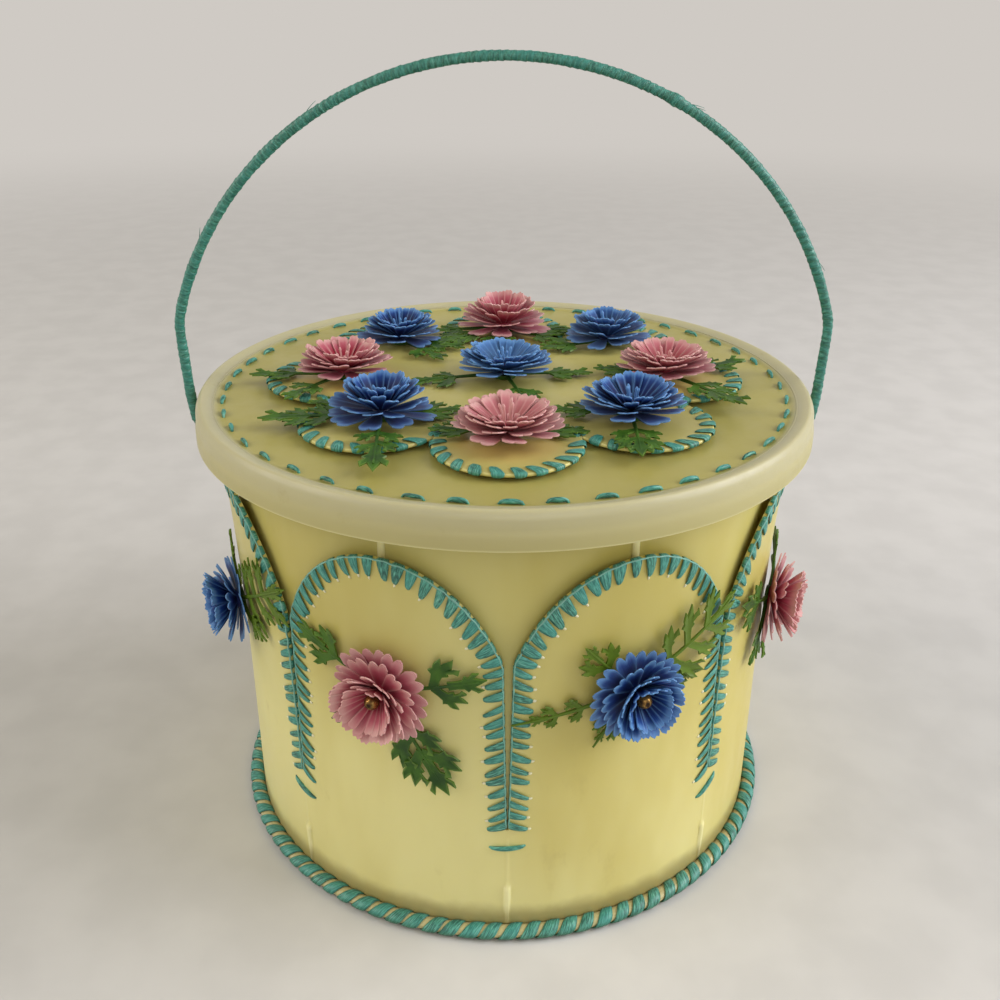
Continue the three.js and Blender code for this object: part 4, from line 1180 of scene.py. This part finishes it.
# Whorls of a side flower and a lid flower, from the lowest: petals, foot, length, width, rise and curl
# in degrees, height, depth of the two lobes, cup, share of dust, rows and columns
SIDE_WHORLS = [
    (11, 1.5, 14.4, 7.6, 3, 7, 0.5, 0.17, 0.05, 0.55, 6, 9),
    (11, 1.5, 12.8, 6.0, 16, 10, 1.2, 0.17, 0.08, 0.15, 6, 9),
    (20, 1.6, 13.2, 3.2, 38, 8, 1.6, 0.03, 0.14, 0.0, 6, 5),
    (18, 1.5, 11.2, 2.7, 50, 6, 2.0, 0.02, 0.14, 0.0, 6, 5),
]
LID_WHORLS = [
    (9, 1.5, 18.0, 8.2, 8, 3, 0.6, 0.08, 0.05, 0.9, 6, 9),
    (11, 1.5, 16.6, 7.2, 18, 4, 1.1, 0.07, 0.07, 0.4, 6, 9),
    (16, 1.7, 15.2, 5.0, 30, 4, 1.5, 0.03, 0.09, 0.1, 6, 7),
    (20, 2.2, 13.2, 3.5, 41, 4, 1.8, 0.02, 0.1, 0.0, 6, 5),
    (9, 1.5, 4.6, 2.0, 50, 5, 2.0, 0.02, 0.13, 0.0, 6, 5),
]


# The rise of the whorl that steep leaves as it is, and how much higher one rises that takes all of it
LEVEL_WHORL, WHORL_SPREAD = 24, 14


def bloom(whorls, deep, draws, squeeze, steep, opened=0):
    """All the petals of a flower: its whorls scaled by squeeze and raised by steep degrees.

    Whorls that rise less than the level one are lowered instead, and then all are lowered by opened
    degrees. The colour's place along a petal is raised to the power deep, which carries the dark outwards.
    """
    parts = []
    for count, start, length, width, rise, curl, height, heart, cup, low, rows, columns in whorls:
        tilt = rise + steep * (rise - LEVEL_WHORL) / WHORL_SPREAD - opened
        part = petal_whorl(count, start, length * squeeze, width * squeeze, tilt, curl, height, heart, cup,
                           low, draws, rows, columns)
        part["marks"]["along"] = part["marks"]["along"] ** deep
        parts.append(part)
    return parts


def button():
    """The moulded middle: a turned low cone under the petals, closed at both ends."""
    profile = rounded([(0, 0), (4.2, 0), (3.4, 2.2), (1.6, 4.0), (0, 4.2)], [0.5, 0.6, 0.6])
    return turned(profile, full_turn(20))


def stamens(draws):
    """Upright pins with round heads: tubes whose radius swells at the end."""
    one = (4, 1, 1)
    t = np.linspace(0, 1, 10)[None, :, None]
    angle = (full_turn(4) + draws.random()).reshape(one)
    length = draws.uniform(5.0, 9.5, one)
    spread = 1.3 + draws.uniform(0.8, 2.6, one) * t ** 1.5
    points = np.concatenate([spread * np.cos(angle), spread * np.sin(angle), 2.5 + length * t], -1)
    radii = 0.42 + 0.22 * np.exp(-((t[..., 0] - 0.93) / 0.07) ** 2)
    radii = radii * np.sqrt(np.clip((1.015 - t[..., 0]) / 0.06, 0.05, 1))
    return marked(bare(tube(points, radii, sides=7)), along=0.97, rim=1.0)


# A lobe of a leaf: places out and half widths there, places across and how far the teeth reach there
LOBE_OUT = np.array([0, 0.24, 0.42, 0.52, 0.62, 0.82, 1.0])
LOBE_HALF = np.array([0.15, 0.14, 0.17, 0.31, 0.22, 0.32, 0.38])
LOBE_ACROSS = np.array([-1, -0.86, -0.45, -0.2, 0, 0.2, 0.45, 0.86, 1])
LOBE_TEETH = np.array([0.7, 0.86, 0.66, 0.85, 1.0, 0.85, 0.66, 0.86, 0.7])
# Where the pairs of lobes leave the stalk, by how many pairs there are
LOBE_PLACES = {1: (0.54,), 2: (0.42, 0.62), 3: (0.32, 0.5, 0.68)}


def leaf_blades(length, share, draws):
    """A divided leaf: finger lobes in pairs along a stalk, each a grid over (across, out).

    A lobe's middle line leaves the stalk at an angle and bends forwards by the square of the way out. Its
    half width grows outwards with one side tooth, and its end is drawn back between three teeth.
    """
    pairs = 3 if length > 43 else 2 if length > 36 else 1
    where = np.array([*np.repeat(LOBE_PLACES[pairs], 2), 0.66]).reshape(-1, 1, 1)
    side = np.array([-1, 1] * pairs + [0]).reshape(-1, 1, 1)
    one = where.shape
    size = 10.6 * draws.uniform(0.88, 1.1, one) * np.where(side == 0, 1.0, share)
    size = np.where(side == 0, 0.37 * length * min(1, share ** 1.6), size * (1.12 - 0.3 * where))
    r, a = LOBE_OUT[None, None], LOBE_ACROSS[None, :, None]
    teeth = 1 - (1 - LOBE_TEETH[None, :, None]) * r ** 2
    out = size * r * teeth
    aim = np.radians((68 if pairs == 3 else 58) + draws.uniform(-8, 8, one)) * side
    turn = aim * (1 - (0.12 if pairs == 3 else 0.3) * r ** 2)
    slim = 0.45 if length > 43 else 0.78
    across = size * LOBE_HALF[None, None] * a * (slim + 0.06 * np.abs(side))
    x = (where + draws.uniform(-0.02, 0.02, one)) * length + out * np.cos(turn) - across * np.sin(turn)
    y = out * np.sin(turn) + across * np.cos(turn)
    z = 0.05 * size * (a ** 2 - 0.5) * r + draws.uniform(-0.03, 0.09, one) * size * r ** 2
    return surface(np.stack(np.broadcast_arrays(x, y, z), -1), rim=np.maximum(r ** 6, np.abs(a) ** 6))


def leaf_stalk(length):
    """The leaf's rib: a thin rod that tapers along it."""
    t = np.linspace(0, 1, 24)[None]
    points = np.stack([1.5 + t * (length * 0.96 - 1.5), 0 * t, 0.05 + 0 * t], -1)
    return bare(tube(points, 0.85 - 0.5 * t))


def bent_leaf(part, degrees, lift, droop, rise):
    """Turns a flat leaf to its direction and bends it: up from the collar, then down by the square."""
    x, y, z = part["points"].T
    far = np.hypot(x, y)
    height = z + lift + rise * far - droop * far ** 2
    c, s = math.cos(math.radians(degrees)), math.sin(math.radians(degrees))
    return {**part, "points": np.stack([c * x - s * y, s * x + c * y, height], -1)}


def wrapped(part, angle, height):
    """Lays a flat part round a petal: right becomes an angle, up a height and out a radius."""
    x, y, z = part["points"].T
    radius = petal_radius(height + y)
    return {**part, "points": around(radius + z, angle + x / radius, height + y)}


def wall_frame(angle, height, lift):
    """Right, up and outward directions on a petal, and the place of its lifted point."""
    lean = math.atan(petal_slope(height))
    out = around(math.cos(lean), angle, -math.sin(lean))
    up = around(math.sin(lean), angle, math.cos(lean))
    right = np.cross(up, out)
    origin = around(petal_radius(height), angle, height) + lift * out
    return np.stack([right, up, out]), origin


# The side flowers' form as add_flower takes it, and leaves with their direction in degrees, length and
# how large the lobes are
SIDE_FORMS = {
    "pink": ((1.13, 0), [(158, 36, 1.2), (15, 34, 1.25), (-60, 41, 1.3), (-138, 28, 0.9)]),
    "blue": ((1.08, 2), [(29, 46, 1.5), (-167, 42, 0.6), (132, 27, 0.9), (-122, 25, 0.7), (-6, 29, 0.75)]),
}
# The lid's flowers: name, eighths of a turn from the front, share of the way out, colour, form as
# add_flower takes it, and leaves with their direction in degrees and length
LID_FLOWERS = [
    ("centre", 0, 0, "blue", (0.98, -4, 2), [(193, 36), (282, 36), (2, 33)]),
    ("front", 0, 1, "pink", (1.0, -5, 3), [(10, 27), (170, 26)]),
    ("front_right", 1, 1, "blue", (1.0, -1, 1), [(268, 37), (172, 28)]),
    ("right", 2, 1, "pink", (0.98, -2, 2), [(22, 35), (303, 41), (172, 26)]),
    ("back_right", 3, 1, "blue", (0.92, 5), [(205, 31), (60, 27)]),
    ("back", 4, 1, "pink", (1.02, 9), [(352, 34), (318, 36), (192, 35), (220, 38), (262, 28)]),
    ("back_left", 5, 1, "blue", (0.88, 4), [(305, 32), (338, 28), (120, 27)]),
    ("left", 6, 1, "pink", (0.97, -1, 1), [(180, 35), (238, 32)]),
    ("front_left", 7, 1, "blue", (0.97, 8), [(184, 41), (272, 43), (12, 29), (152, 30)]),
]
# How far the sun has bleached a lid flower towards its pale rims
FADED = {"centre": 0.4, "front": 0.3, "right": 0.15, "back_right": 0.15}
# The power that carries the dark of the cup outwards, on the lid and on the side
LID_CUP = {"pink": 1.7, "blue": 2.9}
SIDE_CUP = {"pink": 1.0, "blue": 1.6}
# How leaves lie there: their level over the bloom's foot, and the share of the square of the way they droop
LID_LAY = (-0.7, 0.0012)
SIDE_LAY = (0.2, 0.0004)


def bloom_material(look, colour):
    """The petals' material for a flower of one of the two colours."""
    tones = (look.pink_deep, look.pink_middle, look.pink_pale) if colour == "pink" else \
        (look.blue_deep, look.blue_middle, look.blue_pale)
    return material(colour, petal_plastic, f"moulded_{colour}_petal_polyethylene", *map(tuple, tones))


def collar(height):
    """The round collar under a bloom that its leaves grow from."""
    profile = rounded([(0, 0), (4, 0), (4, height), (0, height)], [0.2, 0.3])
    return turned(profile, full_turn(24))


def add_flower(name, body, colour, whorls, form, leaves, basis, origin, bloom_lift, draws,
               on_wall=None, faded=0.0):
    """Builds one flower as four pieces: its petals, its middle, its leaves' blades and their stalks.

    form is its scale, how many degrees steeper its petals stand and by how many it is opened. faded is how
    far it is bleached. on_wall is its angle on the pail, round which its leaves are wrapped; a lid flower
    has none, and has stamens in its middle.
    """
    look, _, sizes = looks()
    on_lid = on_wall is None
    deep, (level, droop) = (LID_CUP[colour], LID_LAY) if on_lid else (SIDE_CUP[colour], SIDE_LAY)
    slot, plastic = f"{colour}_petal_plastic", bloom_material(look, colour)
    middle = np.asarray(origin) + bloom_lift * np.asarray(basis)[2]
    petals = [placed(marked(part, faded=faded), basis, middle) for part in bloom(whorls, deep, draws, *form)]
    mesh_piece(f"{name}_petals", petals, body, [f"{name}_bloom"], plastic,
               wall=sizes.petal_thickness / MM, offset=0, sharp=50)
    core = [button(), stamens(draws)] if on_lid else [button()]
    mesh_piece(f"{name}_middle", [placed(part, basis, middle) for part in core], body, [], plastic,
               weld=True)
    blades, stalks = [], [placed(collar(bloom_lift - 0.25), basis, origin)]
    for degrees, length, share in leaves:
        rise = draws.uniform(0.0, 0.06)
        light = 0.25 * draws.random() + (0 if on_lid or colour == "pink" else 0.7)
        for kept, part in ((blades, leaf_blades(length, share, draws)), (stalks, leaf_stalk(length))):
            part = bent_leaf(marked(part, light=light), degrees, bloom_lift + level, droop, rise)
            kept.append(placed(part, basis, origin) if on_lid else wrapped(part, on_wall, FLOWER_HEIGHT))
    green = material("leaf", leaf_plastic, look)
    mesh_piece(f"{name}_leaf_blades", blades, body, [f"{name}_leaves"], green,
               wall=sizes.leaf_thickness / MM, offset=0, sharp=50)
    mesh_piece(f"{name}_leaf_stalks", stalks, body, [], green, weld=True)


def bead(radius):
    """A bead: a sphere as a turned half circle, with a dimple for its hole, which is darkened by painted
    shade.
    """
    turn = np.linspace(-math.pi / 2, math.pi / 2, 15)
    profile = np.stack([radius * np.cos(turn), radius * np.sin(turn)], -1)
    profile[0, 0] = profile[-1, 0] = 0
    profile[-2:, 1] -= np.array([0.12, 0.35]) * radius
    return turned(profile, full_turn(24), shade=smooth((turn - 1.1) / 0.3)[:, None])


# Operators

def wall_plastic():
    """The pails' polyethylene."""
    return material("wall", moulded_polyethylene, looks()[0])


def stitched(name, parts, body, node):
    """A piece of raffia stitches that stands for a CAD node."""
    fibre = material("raffia", raffia_fibre, looks()[0], "viscose_raffia_ribbon")
    mesh_piece(name, parts, body, [node], fibre)


class BucketOperator:
    """What the operators share: they can be undone."""
    bl_options = {"REGISTER", "UNDO"}


class BUCKET_OT_base(BucketOperator, bpy.types.Operator):
    """Make the base disc and the raffia overcast round its flange."""
    bl_idname = "bucket.base"
    bl_label = "Base and its raffia"

    def execute(self, context):
        _, raffia, _ = looks()
        mesh_piece("base_plate", base_disc(), "pail", ["base_disc"], wall_plastic(),
                   weld=True, sharp=50)
        overcast_edge = base_overcast(raffia, draws_of("base"))
        stitched("base_overcast_raffia", [overcast_edge], "pail", "base_edge_raffia")
        mesh_piece("base_rolled_edge", [base_rolled_edge()], "pail", [],
                   wall_plastic(), weld=True)
        return {"FINISHED"}


class BUCKET_OT_pails(BucketOperator, bpy.types.Operator):
    """Make the outer pail with its petals and the inner pail that stands in it."""
    bl_idname = "bucket.pails"
    bl_label = "Outer and inner pails"

    def execute(self, context):
        mesh_piece("outer_pail_petals", outer_pail(), "pail", ["petal_sleeve"],
                   wall_plastic(), weld=True, wall=WALL, sharp=40)
        # The inner pail gets more painted shade all over, as it stands in the outer pail's shadow
        inner = material("inner_wall", moulded_polyethylene, looks()[0], "moulded_shaded_yellow_polyethylene",
                         0.06)
        mesh_piece("inner_pail_shell", inner_pail(), "pail", ["inner_pail"], inner,
                   weld=True, sharp=40)
        return {"FINISHED"}


class BUCKET_OT_petal_raffia(BucketOperator, bpy.types.Operator):
    """Stitch raffia along the edge of each petal of the outer pail."""
    bl_idname = "bucket.petal_raffia"
    bl_label = "Raffia on the petals"

    def execute(self, context):
        _, raffia, _ = looks()
        burrs = []
        for petal in range(PETALS):
            draws = draws_of("petal", petal)
            stitches, *holes = petal_stitches(petal, raffia, draws)
            parts = [stitches, edge_thread(petal, draws), bar_stitch(petal, draws)]
            if petal != PETALS - 1:
                parts.append(slot_thread(petal))
            stitched(f"petal_{petal + 1}_stitches", parts, "pail", f"petal_raffia_{petal + 1}")
            burrs.append(hole_burrs(petal, *holes))
        mesh_piece("stitch_hole_lips", burrs, "pail", [], wall_plastic())
        return {"FINISHED"}


class BUCKET_OT_lid(BucketOperator, bpy.types.Operator):
    """Make the lid, its running stitches, and the scalloped panel with its raffia."""
    bl_idname = "bucket.lid"
    bl_label = "Lid and scalloped panel"

    def execute(self, context):
        look, raffia, _ = looks()
        draws = draws_of("lid")
        cream = material("lid", lid_polyethylene, look)
        mesh_piece("lid_shell", lid(), "lid", ["lid"], cream, weld=True, sharp=45)
        stitched("lid_running_stitches", [lid_running_stitches(raffia, draws)], "lid", "lid_ring_stitches")
        mesh_piece("scalloped_panel", scallop_panel(), "lid", ["lid_scallop_panel"],
                   cream, weld=True)
        parts = [lobe_stitches(lobe, raffia, draws) for lobe in range(PETALS)] + notch_stitches(draws)
        stitched("scallop_stitches", parts, "lid", "lid_scallop_raffia")
        return {"FINISHED"}


class BUCKET_OT_bail(BucketOperator, bpy.types.Operator):
    """Make the bail's wire and the raffia wound round it."""
    bl_idname = "bucket.bail"
    bl_label = "Bail and its wrap"

    def execute(self, context):
        look, raffia, _ = looks()
        draws = draws_of("bail")
        mesh_piece("bail_steel_wire", bail_wire(), "bail", ["bail_wire"],
                   material("wire", drawn_steel, look))
        parts = [bail_wrap(raffia, draws), *stray_fibres(draws)]
        mesh_piece("bail_wound_raffia", parts, "bail", ["bail_raffia_wrap"],
                   material("wrap", raffia_fibre, look, "wound_viscose_raffia", 0.4))
        return {"FINISHED"}


class BUCKET_OT_side_flowers(BucketOperator, bpy.types.Operator):
    """Make the flower, leaves and bead on each petal of the outer pail."""
    bl_idname = "bucket.side_flowers"
    bl_label = "Flowers on the side"

    def execute(self, context):
        look, _, sizes = looks()
        for index in range(PETALS):
            colour = "pink" if index % 2 else "blue"
            form, leaves = SIDE_FORMS[colour]
            node = f"side_{index + 1}_{colour}"
            angle = PITCH * (index + 0.5)
            basis, origin = wall_frame(angle, FLOWER_HEIGHT, SIDE_LIFT)
            add_flower(node, "pail", colour, SIDE_WHORLS, form, leaves, basis, origin, SIDE_BLOOM_LIFT,
                       draws_of("side_flower", index), angle)
            _, middle = wall_frame(angle, FLOWER_HEIGHT, BEAD_LIFT)
            ball = placed(bead(sizes.bead_radius / MM), basis, middle)
            mesh_piece(f"{node}_centre_bead", [ball], "pail", [f"{node}_bead"],
                       material("bead", lacquered_bead, look), weld=True)
        return {"FINISHED"}


class BUCKET_OT_lid_flowers(BucketOperator, bpy.types.Operator):
    """Make the nine flowers on the lid with their leaves."""
    bl_idname = "bucket.lid_flowers"
    bl_label = "Flowers on the lid"

    def execute(self, context):
        for number, (where, eighths, share, colour, form, leaves) in enumerate(LID_FLOWERS):
            origin = around(share * BLOOM_REACH, PITCH * eighths, PANEL_HIGH + LID_LIFT)
            sprigs = [(degrees, length, 1.0) for degrees, length in leaves]
            add_flower(f"lid_{where}_{colour}", "lid", colour, LID_WHORLS, form, sprigs, np.eye(3), origin,
                       LID_BLOOM_LIFT, draws_of("lid_flower", number), faded=FADED.get(where, 0.0))
        return {"FINISHED"}


def lamp(name, place_at, aim_height, size, power, colour):
    """A square area lamp that looks at a point on the bucket's axis."""
    data = bpy.data.lights.new(name, "AREA")
    data.size, data.energy, data.color = size, power, linear(colour)
    made = bpy.data.objects.new(name, data)
    bpy.context.scene.collection.objects.link(made)
    made.location = place_at
    made.rotation_mode = "QUATERNION"
    made.rotation_quaternion = (Vector((0, 0, aim_height)) - Vector(place_at)).to_track_quat("-Z", "Y")


class BUCKET_OT_stage(BucketOperator, bpy.types.Operator):
    """Make the plain floor and backdrop, the soft lamps and the camera."""
    bl_idname = "bucket.stage"
    bl_label = "Stage, lamps and camera"

    def execute(self, context):
        scene = context.scene
        scene.view_settings.view_transform = "Standard"
        sweep_floor()
        for row in LAMPS:
            lamp(*row)
        scene.world = bpy.data.worlds.new("room")
        scene.world.use_nodes = True
        tree = scene.world.node_tree
        sky = tree.nodes["Background"]
        sky.inputs["Color"].default_value = (*linear("#e9e6e0"), 1)
        sky.inputs["Strength"].default_value = 0.5
        show_paper(tree, "Background", seen_ray(tree), sky, "World Output")
        add_camera(scene)
        return {"FINISHED"}


def seen_ray(tree):
    """1 on the rays of the camera, mirrors and glass, and 0 on those that only light."""
    camera, mirror, glass = (add_node(tree, "LightPath", out=f"Is {kind} Ray")
                             for kind in ("Camera", "Glossy", "Transmission"))
    seen = add_node(tree, "Math", [camera, mirror], operation="MAXIMUM")
    return add_node(tree, "Math", [seen, glass], operation="MAXIMUM")


def show_paper(tree, kind, share, under, output):
    """Lays the plain paper colour over a shader by a share and links the mix to the output."""
    paper = add_node(tree, kind, {"Color": linear(PAPER), "Strength": 1.0})
    mixed = add_node(tree, "MixShader", [share, under.outputs[0], paper])
    tree.links.new(mixed, tree.nodes[output].inputs["Surface"])


def sweep_floor():
    """A plain floor that bends up by a quarter circle into a backdrop far behind the bucket."""
    across = np.linspace(-4, 4, 3)[None]
    t = np.linspace(0, 1, 25)[:, None]
    bend = np.clip((t - 0.5) / 0.3, 0, 1) * math.pi / 2
    y = -3 + 5 * np.minimum(t / 0.5, 1) + np.sin(bend)
    z = 1 - np.cos(bend) + 3 * np.maximum(0, (t - 0.8) / 0.2)
    part = surface(np.stack(np.broadcast_arrays(across, y, z), -1))
    mesh = bpy.data.meshes.new("floor_and_backdrop")
    mesh.from_pydata(part["points"].tolist(), [], part["quads"].tolist())
    mesh.polygons.foreach_set("use_smooth", np.ones(len(mesh.polygons), bool))
    floor = bpy.data.objects.new("floor_and_backdrop", mesh)
    bpy.context.scene.collection.objects.link(floor)
    made, tree, shader = new_material("plain_paper_sweep", Roughness=0.6, IOR=1.4)
    grain = add_node(tree, "TexNoise", {"Vector": place(tree), "Scale": 30, "Detail": 3})
    colour = layered(tree, linear("#d2d0cc"), (grain, 0.3, 0.7, 0, 1, "#cbc9c5"))
    tree.links.new(colour, shader.inputs["Base Color"])
    far = add_node(tree, "MapRange", [from_axis(tree), 0.4, 2.2, 0, 1], **SMOOTH)
    far = add_node(tree, "Math", [seen_ray(tree), far], operation="MULTIPLY")
    show_paper(tree, "Emission", far, shader, "Material Output")
    mesh.materials.append(made)


def add_camera(scene):
    """The camera with the place, turns and focal length that were fitted to the photograph."""
    data = bpy.data.cameras.new("view")
    camera = bpy.data.objects.new("view", data)
    scene.collection.objects.link(camera)
    scene.camera = camera
    data.sensor_width = 36
    data.lens = FOCAL / FRAME * data.sensor_width
    data.shift_x, data.shift_y = 0.5 - LOOK_X / FRAME, LOOK_Y / FRAME - 0.5
    data.clip_start, data.clip_end = 0.01, 50
    turn = Matrix.Identity(3)
    for degrees, axis in ((-YAW, "Z"), (90 - DOWN, "X"), (ROLL, "Z")):
        turn = turn @ Matrix.Rotation(math.radians(degrees), 3, axis)
    camera.location = CAMERA_PLACE
    camera.rotation_mode = "XYZ"
    camera.rotation_euler = turn.to_euler()


OPERATORS = (BUCKET_OT_stage, BUCKET_OT_base, BUCKET_OT_pails, BUCKET_OT_petal_raffia, BUCKET_OT_lid,
             BUCKET_OT_bail, BUCKET_OT_side_flowers, BUCKET_OT_lid_flowers)
GROUPS = (BUCKET_PG_finish, BUCKET_PG_raffia, BUCKET_PG_flowers)


class BUCKET_PT_panel(bpy.types.Panel):
    """The bucket's pieces and their sizes in the sidebar."""
    bl_idname = "BUCKET_PT_panel"
    bl_label = "Craft bucket"
    bl_space_type = "VIEW_3D"
    bl_region_type = "UI"
    bl_category = "Bucket"

    def draw(self, context):
        for operator in OPERATORS:
            self.layout.operator(operator.bl_idname)
        for group in looks():
            box = self.layout.box()
            for name in group.bl_rna.properties.keys():
                if name not in ("rna_type", "name"):
                    box.prop(group, name)


def register():
    """Registers the classes and hangs the properties on the scene."""
    for made in (*GROUPS, *OPERATORS, BUCKET_PT_panel):
        bpy.utils.register_class(made)
    bpy.types.Scene.bucket_finish = PointerProperty(type=BUCKET_PG_finish)
    bpy.types.Scene.bucket_raffia = PointerProperty(type=BUCKET_PG_raffia)
    bpy.types.Scene.bucket_flowers = PointerProperty(type=BUCKET_PG_flowers)


def unregister():
    """Takes the properties and classes away again."""
    del bpy.types.Scene.bucket_flowers
    del bpy.types.Scene.bucket_raffia
    del bpy.types.Scene.bucket_finish
    for made in (BUCKET_PT_panel, *reversed(OPERATORS), *reversed(GROUPS)):
        bpy.utils.unregister_class(made)


def main():
    """Builds the stage and every piece."""
    register()
    for operator in OPERATORS:
        getattr(bpy.ops.bucket, operator.bl_idname.split(".")[1])()


if __name__ == "__main__":
    main()
